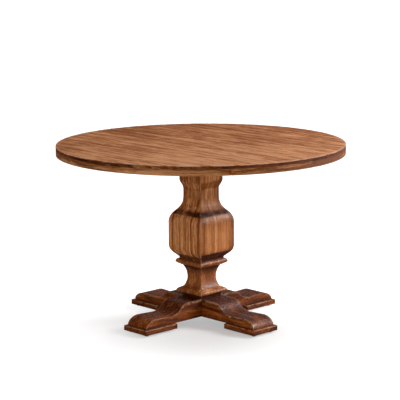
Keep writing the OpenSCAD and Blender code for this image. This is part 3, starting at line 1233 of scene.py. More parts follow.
class SquareMoulding(Rule):
    """Runs an outline of half widths round a square with rounded corners."""

    def __init__(self) -> None:
        """Names the rule and its sizes."""
        super().__init__(
            "square_moulding", {"Corner Radius": 2.5 * MM, "Side Steps": 32, "Corner Steps": 5}
        )

    def build(self) -> None:
        """Builds the tree: a grid's columns go round the square and its rows follow the outline."""
        outline = self.inputs["Geometry"]
        side, corner = self.size("Side Steps"), self.size("Corner Steps")
        rows = Value(self, self.made("GeometryNodeAttributeDomainSize", inputs={0: outline}))
        quarter = side + corner
        ring = quarter * 4
        grid = self.made(
            "GeometryNodeMeshGrid",
            inputs={"Size X": 1.0, "Size Y": 1.0, "Vertices X": ring + 1, "Vertices Y": rows},
        )
        across, up, _ = self.split(self.made("GeometryNodeInputPosition"))
        column = ((across + 0.5) * ring).rounded()
        row = ((up + 0.5) * (rows - 1)).rounded()
        sampled = self.made(
            "GeometryNodeSampleIndex", {"data_type": "FLOAT_VECTOR", "domain": "POINT"},
            {0: outline, 1: self.made("GeometryNodeInputPosition"), 2: row},
        )
        half, _, height = self.split(sampled)
        radius = self.size("Corner Radius").at_most(half)
        flat = half - radius
        step = column % quarter
        along = (step / side).at_most(1.0) * 2 - 1
        turn = (step - side).at_least(0.0) / corner * QUARTER
        corner_place = self.joined(
            flat + radius * turn.cosine(), flat * along + radius * turn.sine(), height
        )
        placed = self.made(
            "ShaderNodeVectorRotate", {"rotation_type": "Z_AXIS"},
            {"Vector": corner_place, "Angle": (column / quarter).floored() * QUARTER},
        )
        moved = self.made("GeometryNodeSetPosition", inputs={"Geometry": grid, "Position": placed})
        self.end(
            self.made("GeometryNodeMergeByDistance", inputs={"Geometry": moved, "Distance": HAIR})
        )


class WoodScrews(Rule):
    """Sets a slotted countersunk screw at each point, head down, with its slot turned anyhow."""

    def __init__(self) -> None:
        """Names the rule and its sizes."""
        super().__init__(
            "wood_screws",
            {"Head": 10 * MM, "Shank": 5 * MM, "Length": 36 * MM, "Slot": 1.3 * MM, "Seed": 7},
        )

    def build(self) -> None:
        """Builds the tree: a turned screw, a slot cut in it, and a copy at each point."""
        head, shank, length = self.size("Head"), self.size("Shank"), self.size("Length")
        head_h = (head - shank) / 2
        point_h = shank * 1.2
        # radius below and above, height, and how far up it stands
        stages = (
            (head / 2, head / 2 - SNUG, head_h * 0.12, 0.0),
            (head / 2 - SNUG, shank / 2, head_h * 0.88, head_h * 0.12),
            (shank / 2, shank / 2 - SNUG, length - head_h - point_h, head_h),
            (shank / 2 - SNUG, shank / 8, point_h, length - point_h),
        )
        turned = self.node("GeometryNodeJoinGeometry")
        for bottom, top, height, rise in stages:
            cone = self.node(
                "GeometryNodeMeshCone", None,
                {"Vertices": 20, "Radius Top": top, "Radius Bottom": bottom, "Depth": height},
            )
            lifted = self.made(
                "GeometryNodeTransform",
                inputs={0: cone.outputs["Mesh"], "Translation": self.joined(0.0, 0.0, rise)},
            )
            self.tree.links.new(lifted, turned.inputs[0])
        slot = self.made(
            "GeometryNodeMeshCube",
            inputs={"Size": self.joined(head * 1.2, self.size("Slot"), head_h * 0.9)},
        )
        cut = self.made(
            "GeometryNodeMeshBoolean", {"operation": "DIFFERENCE", "solver": "EXACT"},
            {"Mesh 1": turned.outputs[0], "Mesh 2": slot},
        )
        spin = self.node(
            "FunctionNodeRandomValue", {"data_type": "FLOAT"},
            {2: 0.0, 3: math.pi, "Seed": self.inputs["Seed"]},
        )
        copies = self.made(
            "GeometryNodeInstanceOnPoints",
            inputs={
                "Points": self.inputs["Geometry"],
                "Instance": cut,
                "Rotation": self.joined(0.0, 0.0, Value(self, spin.outputs[1])),
            },
        )
        self.end(copies)


class NailGlides(Rule):
    """Sets a domed glide under each point."""

    def __init__(self) -> None:
        """Names the rule and its sizes."""
        super().__init__("nail_glides", {"Width": 22 * MM, "Height": 8 * MM})

    def build(self) -> None:
        """Builds the tree: a drum whose lower rings draw in, and a copy at each point."""
        width, height = self.size("Width"), self.size("Height")
        drum = self.node(
            "GeometryNodeMeshCylinder", {"fill_type": "NGON"},
            {
                "Vertices": 32, "Side Segments": 8, "Fill Segments": 1,
                "Radius": width / 2, "Depth": height,
            },
        )
        x, y, z = self.split(self.made("GeometryNodeInputPosition"))
        drawn_in = 0.5 - z / height
        share = 1.0 - drawn_in ** 4.0 * 0.3
        domed = self.made(
            "GeometryNodeSetPosition",
            inputs={
                "Geometry": drum.outputs["Mesh"],
                "Position": self.joined(x * share, y * share, z),
            },
        )
        copies = self.made(
            "GeometryNodeInstanceOnPoints",
            inputs={"Points": self.inputs["Geometry"], "Instance": domed},
        )
        self.end(copies)


# ---------------------------------------------------------------- the column


@dataclass(frozen=True)
class Stripe:
    """A dark or light line that runs up one side of the bulb."""

    side: Side
    place: float
    width: float
    strength: float


@dataclass(frozen=True)
class Hollows:
    """Where painted shade lies on a moulded block, as amounts and reaches in its height: evenly,
    near its top and near its foot.
    """

    even: float = 0.0
    over: Point2 = (0.0, 1.0)
    under: Point2 = (0.0, 1.0)

    def amount(self, share: np.ndarray) -> np.ndarray:
        """How much painted shade lies at each share of the height."""
        over, under = near(1.0 - share, self.over[1]), near(share, self.under[1])
        return self.even + over * self.over[0] + under * self.under[0]


def from_arris(at: np.ndarray) -> np.ndarray:
    """How far each point of a square block lies from the nearest upright arris."""
    sides = np.abs(at[:, :2])
    return sides.max(1) - sides.min(1)


@dataclass
class CarvedColumn:
    """The square column: cap, core, bulb cheeks, collar, waist block, plinth and spacer."""

    moulding: SquareMoulding
    wood: bpy.types.Material
    foot_wood: bpy.types.Material
    corner: float = 2.5 * MM
    step: float = 4 * MM
    cap_curve: float = 45 * MM
    shoulder: float = 70 * MM
    hollow: float = 81 * MM
    under: float = 48 * MM
    foot_half: float = 68 * MM
    foot_height: float = 6 * MM
    face_height: float = 100 * MM
    nose: float = 13 * MM
    edge_height: float = 15 * MM
    edge_under: float = 8 * MM
    collar_foot: float = 62 * MM
    waist_half: float = 44 * MM
    waist_radius: float = 91 * MM
    waist_low: float = 45 * MM
    bead: float = 8 * MM
    plinth_top: float = 58 * MM
    cap_ease: float = 1.2 * MM
    spacer_ease: float = 1.0 * MM
    core_bore: float = 9 * MM
    cheek_inset: float = 1.0 * MM
    vee: float = 0.4 * MM
    # painted shade bands on the bulb: round the flare, and under it, wider on the right
    neck_shade: Band = Band(197 * MM, 207 * MM, 3 * MM, 9 * MM)
    under_shade: Band = Band(-10 * MM, 16 * MM, 5 * MM, 8 * MM, 0.8)
    right_under_shade: Band = Band(-10 * MM, 28 * MM, 5 * MM, 8 * MM, 1.5)
    cap_curve_stain: Band = Band(0.17, 0.25, 0.11, 0.13)
    cap_pale_patch: Band = Band(0.45, 0.95, 0.06, 0.1, 0.3)
    core_board: float = 3.1
    planed: Point2 = (0.15 * MM, 0.9 * MM)
    stripes: tuple[Stripe, ...] = (
        Stripe(Side.FRONT, -85 * MM, 3 * MM, -0.15),
        Stripe(Side.FRONT, -74 * MM, 3 * MM, 0.40),
        Stripe(Side.FRONT, -60 * MM, 4 * MM, -0.22),
        Stripe(Side.FRONT, -24 * MM, 15 * MM, -0.24),
        Stripe(Side.FRONT, -31 * MM, 2.5 * MM, 0.30),
        Stripe(Side.FRONT, -12 * MM, 5 * MM, -0.20),
        Stripe(Side.FRONT, 8 * MM, 2.5 * MM, 0.22),
        Stripe(Side.FRONT, 32 * MM, 3.5 * MM, -0.25),
        Stripe(Side.FRONT, 41 * MM, 3 * MM, 0.38),
        Stripe(Side.FRONT, 56 * MM, 4 * MM, -0.18),
        Stripe(Side.FRONT, 84 * MM, 5 * MM, 0.42),
        Stripe(Side.RIGHT, -91 * MM, 3 * MM, -0.1),
        Stripe(Side.RIGHT, -75 * MM, 14 * MM, 0.07),
        Stripe(Side.RIGHT, -78 * MM, 3 * MM, 0.25),
        Stripe(Side.RIGHT, -50 * MM, 12 * MM, -0.16),
        Stripe(Side.RIGHT, -20 * MM, 2.5 * MM, 0.25),
        Stripe(Side.RIGHT, -8 * MM, 4 * MM, -0.15),
        Stripe(Side.RIGHT, 59 * MM, 3 * MM, -0.20),
        Stripe(Side.RIGHT, 22 * MM, 10 * MM, -0.08),
        Stripe(Side.RIGHT, 84 * MM, 8 * MM, 0.12),
    )
    neck_half: float = field(init=False)
    bulb_half: float = field(init=False)

    def __post_init__(self) -> None:
        """Takes the widths from the frame."""
        self.neck_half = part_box("core_stave_back_right")[1].x
        self.bulb_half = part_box("bulb_cheek_right")[1].x

    def bulb_outline(self) -> list[Point2]:
        """Draws the bulb from its foot up to the neck.

        Returns:
            Its half widths and heights.
        """
        r, tip = self.bulb_half, math.tan(math.radians(22.5))
        low = self.foot_height + r - self.foot_half + self.under * tip
        high = low + self.face_height
        run = self.shoulder + self.hollow - (r - self.neck_half)
        rise = math.sqrt((self.shoulder + self.hollow) ** 2 - run**2)
        turn = math.degrees(math.atan2(rise, run))
        return [
            (self.foot_half, 0.0),
            (self.foot_half, self.foot_height),
            *arc((r - self.under, low), self.under, self.under, -45, 0, 12),
            *arc((r - self.shoulder, high), self.shoulder, self.shoulder, 0, turn, 14),
            *arc(
                (self.neck_half + self.hollow, high + rise),
                self.hollow, self.hollow, 180 + turn, 180, 16,
            ),
        ]

    def cap_outline(self, half: float, height: float) -> list[Point2]:
        """Draws the cap: two equal arcs, then a plain block.

        Args:
            half: The cap's half width at the top.
            height: Its height.

        Returns:
            Its half widths and heights.
        """
        out = half - self.neck_half
        r = (self.cap_curve**2 + out**2) / (4 * out)
        a = 2 * math.degrees(math.atan(out / self.cap_curve))
        return [
            *arc((self.neck_half + r, 0), r, r, 180, 180 - a, 10),
            *arc((half - r, self.cap_curve), r, r, -a, 0, 10),
            (half, height - self.cap_ease),
            (half - self.cap_ease, height),
        ]

    def collar_outline(self, half: float, height: float) -> list[Point2]:
        """Draws the collar: a round edge that slopes in underneath.

        Args:
            half: The collar's half width.
            height: Its height.

        Returns:
            Its half widths and heights.
        """
        edge, under_r, over_h = self.edge_height, self.edge_under, height - self.edge_height
        under = arc((half - under_r, edge), under_r, under_r, -60, 0, 8)
        over = arc((half - self.nose, edge), self.nose, over_h, 0, 90, 10)
        return [(self.collar_foot, 0.0), *under, *over[1:]]

    def waist_outline(self, height: float) -> list[Point2]:
        """Draws the waist block: one hollow.

        Args:
            height: The block's height.

        Returns:
            Its half widths and heights.
        """
        r, low = self.waist_radius, self.waist_low
        first = 180 + math.degrees(math.asin(low / r))
        last = 180 - math.degrees(math.asin((height - low) / r))
        return arc((self.waist_half + r, low), r, r, first, last, 24)

    def plinth_outline(self, half: float, height: float) -> list[Point2]:
        """The plinth's half widths and heights: a bead, then a weathered slope."""
        return [
            *arc((half - self.bead, self.bead), self.bead, self.bead, -90, 60, 14),
            (self.plinth_top, height),
        ]

    @staticmethod
    def _on_face(side: Side, at: np.ndarray) -> tuple[np.ndarray, np.ndarray]:
        """Which points lie on one side of the column, and how far along it each one is."""
        turned = at @ np.array(side.turn.to_3x3())
        return turned[:, 0] > np.abs(turned[:, 1]) - 0.1 * MM, turned[:, 1]

    def _cap_stain(self, share: np.ndarray, at: np.ndarray) -> np.ndarray:
        """Stains the cap's curve, darker on the right, and leaves a pale patch above it.

        Args:
            share: Each point's share of the height.
            at: Where the points are.

        Returns:
            The stain at each point.
        """
        x, y = at[:, 0], at[:, 1]
        on_right = x > np.abs(y)
        curve = self.cap_curve_stain.amount(share) * (0.45 * on_right - 0.1)
        patch = self.cap_pale_patch.amount(share) * near(np.abs(y - 30 * MM), 24 * MM)
        return curve - patch * on_right

    @staticmethod
    def _waist_stain_and_shade(share: np.ndarray, at: np.ndarray) -> np.ndarray:
        """Darkens the waist block: painted shade over its right face, and a stain in one upright
        streak on each side.

        Args:
            share: Each point's share of the height; not used.
            at: Where the points are.

        Returns:
            The stain and painted shade at each point.
        """
        x, y = at[:, 0], at[:, 1]
        along = np.maximum(y, x * (y < -x))
        # painted shade over the right face, and a stain streak on each side
        return 0.1 * (x > np.abs(y)) + 0.14 * near(np.abs(along - 34 * MM), 24 * MM)

    def _block(
        self, name: str, slot: str, outline: list[Point2], board: float, tone: float,
        glaze: Hollows, stain: Callable[[np.ndarray, np.ndarray], np.ndarray] | None = None,
    ) -> None:
        """Makes a square moulded block by the moulding rule.

        Args:
            name: The piece's name and its node's.
            slot: The record's material slot.
            outline: Half widths, and heights above the block's foot.
            board: The number that sets where its grain lies.
            tone: How much lighter or darker its wood is.
            glaze: Where the painted shade lies.
            stain: Gives the brown stain, and on the waist's right face painted shade, from each
                point's share of the height and its place.
        """
        low, high = heights(name)
        line = refined(outline, self.step)
        closed = [(0.0, line[0][1]), *line, (0.0, line[-1][1])]
        points = [(x, 0.0, low + z) for x, z in closed]
        mesh = bpy.data.meshes.new(name)
        mesh.from_pydata(points, [(i, i + 1) for i in range(len(points) - 1)], [])
        piece = add_object(name, mesh)
        material = self.foot_wood if slot == "foot" else self.wood
        self.moulding.apply(piece, material, Corner_Radius=self.corner)
        at = corners(piece)
        share = (at[:, 2] - low) / (high - low)
        paint(piece, Mask.BOARD, board)
        paint(piece, Mask.WEAR, near(from_arris(at), self.corner))
        paint(piece, Mask.GLAZE, glaze.amount(share))
        paint(piece, Mask.TONE, tone)
        paint(piece, Mask.STAIN, stain(share, at) if stain else 0.0)
        handworked(piece, *self.planed, board)
        shaded(piece)
        join_frame(piece, [name], material)

    def _stave(self, name: str, turns: int) -> None:
        """Makes one of the four staves of the core.

        Args:
            name: The piece's name and its node's.
            turns: How many quarter turns it lies from the first.
        """
        low, high = heights(name)
        h, c, bore = self.neck_half, self.corner, self.core_bore
        outline = [
            *arc((0, 0), bore, bore, 90, 0, 6), (h, 0.0), (h, h / 2),
            *arc((h - c, h - c), c, c, 0, 90, 5), (h / 2, h), (0.0, h),
        ]
        stock = Stock(outline, low, high).rule(2, evenly(low, high, 5 * MM))
        piece = stock.off_bench(name, Matrix.Rotation(turns * QUARTER, 4, "Z"))
        cleaned(piece)
        at = corners(piece)
        to_joint = np.abs(at[:, :2]).min(1)
        on_right, _ = self._on_face(Side.RIGHT, at)
        paint(piece, Mask.BOARD, self.core_board)
        paint(piece, Mask.WEAR, near(from_arris(at), c) * 0.8)
        paint(piece, Mask.GLAZE, near(to_joint, 0.5 * MM) * 0.25)
        paint(piece, Mask.TONE, -0.03 - 0.15 * on_right)
        paint(piece, Mask.STAIN, 0.0)
        shaded(piece)
        join_frame(piece, [name], self.wood)

    def _cheek_ring(self, r: float) -> list[Point2]:
        """Draws a level cut through the right cheek.

        Args:
            r: The bulb's half width at that level.

        Returns:
            The cut's corners. There are as many at every level.
        """
        c, joint, inner = self.corner, self.neck_half, self.neck_half - self.cheek_inset
        reach = max(r, inner + 0.2 * MM)
        face = [(r, y) for y in np.linspace(-r + c, joint - self.vee, 56)]
        end = [(x, -r) for x in np.linspace(min(joint + self.vee, reach - c * 0.5), r - c, 12)]
        return [
            *end,
            *arc((r - c, -r + c), c, c, -90, 0, 5)[1:-1],
            *face,
            (r - min(self.vee, reach - inner), joint),
            (inner, joint),
            (inner, -r + 0.2 * MM),
        ]

    def _dress_cheek(self, piece: bpy.types.Object, side: Side, r: np.ndarray) -> None:
        """Paints a cheek while it still lies on the right side.

        Args:
            piece: The cheek.
            side: The side that it will cover.
            r: The bulb's half width at each of its corners.
        """
        low, high = heights(f"bulb_cheek_{side.word}")
        joint, at = self.neck_half, corners(piece)
        z = at[:, 2] - low
        to_arris = np.abs(at[:, 0] - r) + np.abs(at[:, 1] + r)
        paint(piece, Mask.BOARD, self.core_board)
        paint(piece, Mask.WEAR, near(to_arris, self.corner * 1.4))
        outside = np.abs(at[:, 0] - r) < 0.5 * MM
        joint_line = outside * near(np.abs(at[:, 1] - joint), 0.9 * MM) * (r > joint + 4 * MM)
        # painted shade: a ragged dark band round the flare, where the table's top shades it,
        # stronger towards the corner between the right and front faces
        ragged = 0.45 + 0.9 * lumps(at, 26 * MM, self.core_board)
        to_front = {Side.RIGHT: -1.0, Side.FRONT: 1.0}.get(side, 0.0) * at[:, 1] / self.bulb_half
        ragged *= np.clip(1.0 + 0.35 * to_front, 0.5, 1.3)
        neck_band = self.neck_shade.amount(z) * ragged
        placed = at @ np.array(side.turn.to_3x3()).T
        on_right, place = self._on_face(Side.RIGHT, placed)
        # painted shade under the bulb's overhang, wider and darker on the right face
        under = np.where(on_right, self.right_under_shade.amount(z), self.under_shade.amount(z))
        paint(piece, Mask.GLAZE, np.clip(joint_line * 0.5 + neck_band + under, 0, 1))
        # darker near the top and the foot of the cheek; on the right face painted shade as well,
        # darker at its two ends, low down and round the shoulder
        tone = -0.1 * near(high - low - z, 60 * MM) - 0.08 * near(z, 40 * MM)
        tone -= on_right * (
            0.2 * near(self.bulb_half - np.abs(place), 36 * MM)
            + 0.08 * near(z, 60 * MM)
            + 0.08 * near(np.abs(z - 172 * MM), 26 * MM)
        )
        paint(piece, Mask.TONE, tone)
        paint(piece, Mask.CALM, 0.45 * on_right)
        stain = np.zeros(len(at))
        for stripe in self.stripes:
            on_face, place = self._on_face(stripe.side, placed)
            stain += stripe.strength * near(np.abs(place - stripe.place), stripe.width) * on_face
        paint(piece, Mask.STAIN, stain)

    def _cheek(self, side: Side) -> None:
        """Lofts one of the four cheeks of the bulb.

        Args:
            side: The side that it covers.
        """
        name = f"bulb_cheek_{side.word}"
        low, high = heights(name)
        line = refined(self.bulb_outline(), self.step)
        line[-1] = (self.neck_half, line[-1][1])
        line.append((self.neck_half - 0.3 * MM, high - low))
        rows = [[(x, y, low + z) for x, y in self._cheek_ring(r)] for r, z in line]
        size = len(rows[0])
        points = [p for row in rows for p in row]
        faces = [list(range(size))[::-1], [len(points) - size + i for i in range(size)]]
        for k in range(len(rows) - 1):
            for i in range(size):
                j = (i + 1) % size
                faces.append([k * size + i, k * size + j, (k + 1) * size + j, (k + 1) * size + i])
        piece = make_object(name, points, faces)
        self._dress_cheek(piece, side, np.repeat([r for r, _ in line], size))
        piece.data.transform(side.turn)
        cleaned(piece)
        handworked(piece, *self.planed, self.core_board)
        shaded(piece)
        join_frame(piece, [name], self.wood)

    def build(self) -> None:
        """Builds every piece of the column."""
        # painted shade on the blocks, where creases and overhangs shade them: at the top of the
        # cap, the collar and the waist, at the foot of the waist and the plinth, and all over the
        # recessed spacer
        outline = self.cap_outline(*half_and_height("column_cap"))
        glaze = Hollows(over=(0.4, 0.12))
        self._block("column_cap", "column", outline, 3.1, -0.14, glaze, self._cap_stain)
        for turns, word in enumerate(("back_right", "back_left", "front_left", "front_right")):
            self._stave(f"core_stave_{word}", turns)
        for side in Side:
            self._cheek(side)
        outline = self.collar_outline(*half_and_height("collar"))
        self._block("collar", "column", outline, 4.4, -0.3, Hollows(over=(0.5, 0.2)))
        outline = self.waist_outline(half_and_height("waist_block")[1])
        glaze = Hollows(over=(0.95, 0.31), under=(0.3, 0.1))
        self._block("waist_block", "column", outline, 5.2, -0.18, glaze, self._waist_stain_and_shade)
        outline = self.plinth_outline(*half_and_height("plinth"))
        self._block("plinth", "column", outline, 6.3, -0.15, Hollows(under=(0.5, 0.15)))
        half, height = half_and_height("spacer_block")
        ease = self.spacer_ease
        outline = [(half - ease, 0.0), (half, ease), (half, height - ease), (half - ease, height)]
        self._block("spacer_block", "foot", outline, 7.7, -0.2, Hollows(even=0.6))


# ---------------------------------------------------------------- the foot


@dataclass
class CrossedFoot:
    """Two crossed and halved beams on four pads, with nail-on glides."""

    wood: dict[Axis, bpy.types.Material]
    metal: bpy.types.Material
    glides: NailGlides
    level: float = 136 * MM
    turn: float = 50 * MM
    hollow: float = 76 * MM
    low: float = 33 * MM
    nose_height: float = 36.5 * MM
    nose: float = 56 * MM
    arris: float = 3.5 * MM
    pad_arris: float = 3.0 * MM
    lap_room: float = 0.1 * MM
    pocket: float = 22 * MM
    pocket_depth: float = 25 * MM
    screw_bore: float = 6 * MM
    screw_bore_depth: float = 6 * MM
    pad_corner: float = 2.5 * MM
    dip: float = 190 * MM
    root: float = 120 * MM
    dip_reach: float = 40 * MM
    toe_reach: float = 45 * MM
    pad_lip: float = 12 * MM
    beam_planed: Point2 = (0.2 * MM, 0.2 * MM)
    pad_planed: Point2 = (0.2 * MM, 0.8 * MM)

    def _half_outline(self, half: float, height: float) -> list[Point2]:
        """Draws half of a beam from its side, from the toe up to the level top.

        Args:
            half: The beam's half length.
            height: Its height.

        Returns:
            The line.
        """
        drop = height - self.low
        a = math.degrees(math.acos(1 - drop / (self.turn + self.hollow)))
        run = (self.turn + self.hollow) * math.sin(math.radians(a))
        dip, crown = (self.level + run, self.low + self.hollow), (self.level, height - self.turn)
        return [
            *arc((half - self.nose, 0.0), self.nose, self.nose_height, 0, 90, 14),
            *arc(dip, self.hollow, self.hollow, 270, 270 - a, 14),
            *arc(crown, self.turn, self.turn, 90 - a, 90, 12),
        ]

    @staticmethod
    def _bored(piece: bpy.types.Object, holes: Sequence[tuple[Vector, float, float]]) -> None:
        """Bores round holes up into a piece.

        Args:
            piece: The piece.
            holes: For each hole the middle of its mouth, its radius and its depth.
        """
        work = bmesh.new()
        for mouth, radius, depth in holes:
            middle = Matrix.Translation(mouth + Vector((0, 0, depth / 2 - MM)))
            bmesh.ops.create_cone(
                work, cap_ends=True, segments=40, radius1=radius, radius2=radius,
                depth=depth + 2 * MM, matrix=middle,
            )
        mesh = bpy.data.meshes.new("drill")
        work.to_mesh(mesh)
        work.free()
        drill = add_object("drill", mesh)
        modifier = piece.modifiers.new("bore", "BOOLEAN")
        modifier.object, modifier.operation, modifier.solver = drill, "DIFFERENCE", "EXACT"
        settled(piece)
        bpy.data.objects.remove(drill)
        bpy.data.meshes.remove(mesh)

    def _beam(self, name: str, over: bool, turn: Matrix, board: float) -> None:
        """Saws, eases, halves and dresses one beam.

        Args:
            name: The piece's name and its node's.
            over: Whether it is notched from below and so lies over the other.
            turn: Where it lies.
            board: The number that sets where its grain lies.
        """
        low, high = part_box(name)
        base, height = low.z, high.z - low.z
        half, side = max(high.x, high.y), min(high.x, high.y)
        gap = side + self.lap_room
        curve = self._half_outline(half, height)
        notch = [(gap, 0.0), (gap, height / 2)] if over else [(gap, height), (gap, height / 2)]
        right = [*notch[::-1], *curve] if over else [*curve, *notch]
        outline = [(x, base + z) for x, z in both_sides(right)]

        def eased(at: Vector) -> bool:
            """Whether an edge lies above the sole and out of the notch."""
            notched = at.y < base + height * 0.6 if over else at.y > base + MM
            return at.y > base + 2 * MM and not (abs(at.x) < gap + MM and notched)

        stock = Stock(outline, -side, side).ease(self.arris, 4, eased)
        stock.rule(0, evenly(-half, half, 7 * MM, 3 * MM))
        stock.rule(1, evenly(base, base + height, 8 * MM, 4 * MM))
        stock.rule(2, evenly(-side, side, 12 * MM, self.arris + 2 * MM))
        piece = stock.off_bench(name, turn @ ON_EDGE_X)
        cleaned(piece)
        if not over:
            self._bored(piece, [(Vector((0, 0, base)), self.pocket, self.pocket_depth)])
        paint(piece, Mask.BOARD, board)
        self._dress_beam(piece, name, over, turn)
        handworked(piece, *self.beam_planed, board)
        shaded(piece)
        join_frame(piece, [name], self.wood[Axis.X if over else Axis.Y])

    def _dress_beam(self, piece: bpy.types.Object, node: str, over: bool, turn: Matrix) -> None:
        """Paints one beam.

        Args:
            piece: The beam.
            node: Its node.
            over: Whether it lies over the other.
            turn: Where it lies.
        """
        low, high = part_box(node)
        half, side = max(high.x, high.y), min(high.x, high.y)
        curve = self._half_outline(half, high.z - low.z)[::-1]
        at = corners(piece)
        lengthwise = at @ np.array((turn @ Vector((1, 0, 0)))[:])
        along = np.abs(lengthwise)
        across = np.abs(at @ np.array((turn @ Vector((0, 1, 0)))[:]))
        z = at[:, 2] - low.z
        far = lengthwise * (1 if over else -1) < 0
        surface = np.interp(along, [x for x, _ in curve], [level for _, level in curve])
        top = z > surface - 1.2 * self.arris
        paint(piece, Mask.WEAR, near(side - across, self.arris * 0.8) * top * (1.0 - 0.5 * far))
        # darker in the cove; painted shade near the column, at the crossing and along the sole
        dip = near(np.abs(along - self.dip), self.dip_reach) * 0.2
        root = near(along - self.root, self.dip_reach) * (0.8 if over else 0.5)
        sole = near(z - 2 * MM, 3 * MM) * 0.8
        lap = near(along - side, 5 * MM) * 0.5
        paint(piece, Mask.GLAZE, np.clip((dip + root + lap) * top + sole, 0, 1))
        # painted shade on the lower beam's sides, darker on its +Y arm
        lit_side_shade = 0.0 if over else 0.14 + 0.14 * (at[:, 1] > side)
        toe = near(half - along, self.toe_reach)
        level = near(np.abs(along - 300 * MM), 60 * MM) + near(along - 90 * MM, 60 * MM)
        # the tops are painted darker than the sides as shade from the table above, darker still
        # near the column and about 300 mm out, and lighter towards the toes and on the far arms
        top_tone_and_shade = 0.14 * toe - 0.24 - 0.08 * level + 0.07 * far
        paint(piece, Mask.TONE, top_tone_and_shade * top - lit_side_shade * ~top)
        paint(piece, Mask.STAIN, 0.0)

    def _pad(self, side: Side, screws: Sequence[Vector], board: float) -> None:
        """Saws, eases and dresses one pad.

        Args:
            side: The side that it lies on.
            screws: Where the screws' heads are, on all the pads.
            board: The number that sets where its grain lies.
        """
        name = f"foot_pad_{side.word}"
        low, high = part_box(name)
        back = side.turn.inverted()
        a, b = back @ low, back @ high
        x0, x1 = sorted((a.x, b.x))
        y1 = max(abs(a.y), abs(b.y))
        c = self.pad_corner
        places = ((x1 - c, -y1 + c), (x1 - c, y1 - c), (x0 + c, y1 - c), (x0 + c, -y1 + c))
        outline = [
            p for turns, place in enumerate(places)
            for p in arc(place, c, c, 90 * turns - 90, 90 * turns, 4)
        ]

        def on_top(at: Vector) -> bool:
            """Whether an edge lies on top."""
            return at.z > low.z + MM

        stock = Stock(outline, low.z, high.z).ease(self.pad_arris, 4, on_top)
        stock.rule(0, evenly(x0, x1, 8 * MM, 5 * MM)).rule(1, evenly(-y1, y1, 8 * MM, 5 * MM))
        stock.rule(2, [low.z + 2 * MM, low.z + 9 * MM, high.z - 5 * MM])
        piece = stock.off_bench(name, side.turn)
        cleaned(piece)
        mouths = [
            Vector((s.x, s.y, low.z)) for s in screws
            if low.x < s.x < high.x and low.y < s.y < high.y
        ]
        self._bored(piece, [(mouth, self.screw_bore, self.screw_bore_depth) for mouth in mouths])
        at = np.array([back @ Vector(p) for p in corners(piece)])
        out = np.minimum(np.minimum(x1 - at[:, 0], at[:, 0] - x0), y1 - np.abs(at[:, 1]))
        top = at[:, 2] > high.z - self.pad_arris * 1.1
        # painted shade where the beam sits on the pad, and along the sole
        to_beam = np.abs(np.abs(at[:, 1]) - (y1 - self.pad_lip))
        under_beam = near(to_beam, 3 * MM) * top
        paint(piece, Mask.BOARD, board)
        paint(piece, Mask.WEAR, near(out, 3.5 * MM) * top)
        sole = near(at[:, 2] - low.z, 3 * MM)
        paint(piece, Mask.GLAZE, np.clip(under_beam * 0.8 + sole * 0.5, 0, 1))
        # painted shade on the right pad's outer end
        end = (x1 - at[:, 0] < 0.5 * MM) & (side is Side.RIGHT)
        paint(piece, Mask.TONE, -0.12 - 0.2 * end)
        paint(piece, Mask.STAIN, 0.0)
        handworked(piece, *self.pad_planed, board)
        shaded(piece)
        join_frame(piece, [name], self.wood[Axis.X if side.value % 2 == 0 else Axis.Y])

    def _glides(self) -> None:
        """Makes the eight glides by their rule."""
        nodes = [f"floor_glide_{i}" for i in range(1, 9)]
        under, _ = heights(nodes[0])
        top = heights("foot_pad_right")[0]
        points = []
        for node in nodes:
            low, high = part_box(node)
            points.append(((low.x + high.x) / 2, (low.y + high.y) / 2, (under + top) / 2))
        piece = make_object("floor_glides", points, [])
        low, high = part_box(nodes[0])
        self.glides.apply(piece, self.metal, Width=high.x - low.x, Height=top - under)
        shaded(piece)
        join_frame(piece, nodes, self.metal)

    def build(self, screws: Sequence[Vector]) -> None:
        """Builds every piece of the foot.

        Args:
            screws: Where the pad screws' heads are.
        """
        self._beam("foot_beam_x", True, Matrix.Identity(4), 8.2)
        self._beam("foot_beam_y", False, Matrix.Rotation(QUARTER, 4, "Z"), 9.6)
        for side in Side:
            self._pad(side, screws, 10.1 + side.value * 0.8)
        self._glides()


# ---------------------------------------------------------------- fastenings and inner wood


def place_order(box: tuple[Vector, Vector]) -> tuple[float, ...]:
    """What boxes are sorted by: the lowest corner, to a tenth of a millimetre."""
    return tuple(round(x, 4) for x in box[0])


def solids_in(node: str) -> list[tuple[Vector, Vector]]:
    """Finds the separate solids in a frame node.

    Args:
        node: The node.

    Returns:
        Each solid's lowest and highest corner, in order of place.
    """
    work = bmesh.new()
    work.from_mesh(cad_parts[node].data)
    bmesh.ops.remove_doubles(work, verts=work.verts, dist=WELD)
    left, boxes = set(work.verts), []
    while left:
        island, edge = set(), [left.pop()]
        while edge:
            vert = edge.pop()
            island.add(vert)
            for other in (e.other_vert(vert) for e in vert.link_edges):
                if other in left:
                    left.discard(other)
                    edge.append(other)
        places = np.array([v.co[:] for v in island])
        boxes.append((Vector(places.min(0)), Vector(places.max(0))))
    work.free()
    return sorted(boxes, key=place_order)


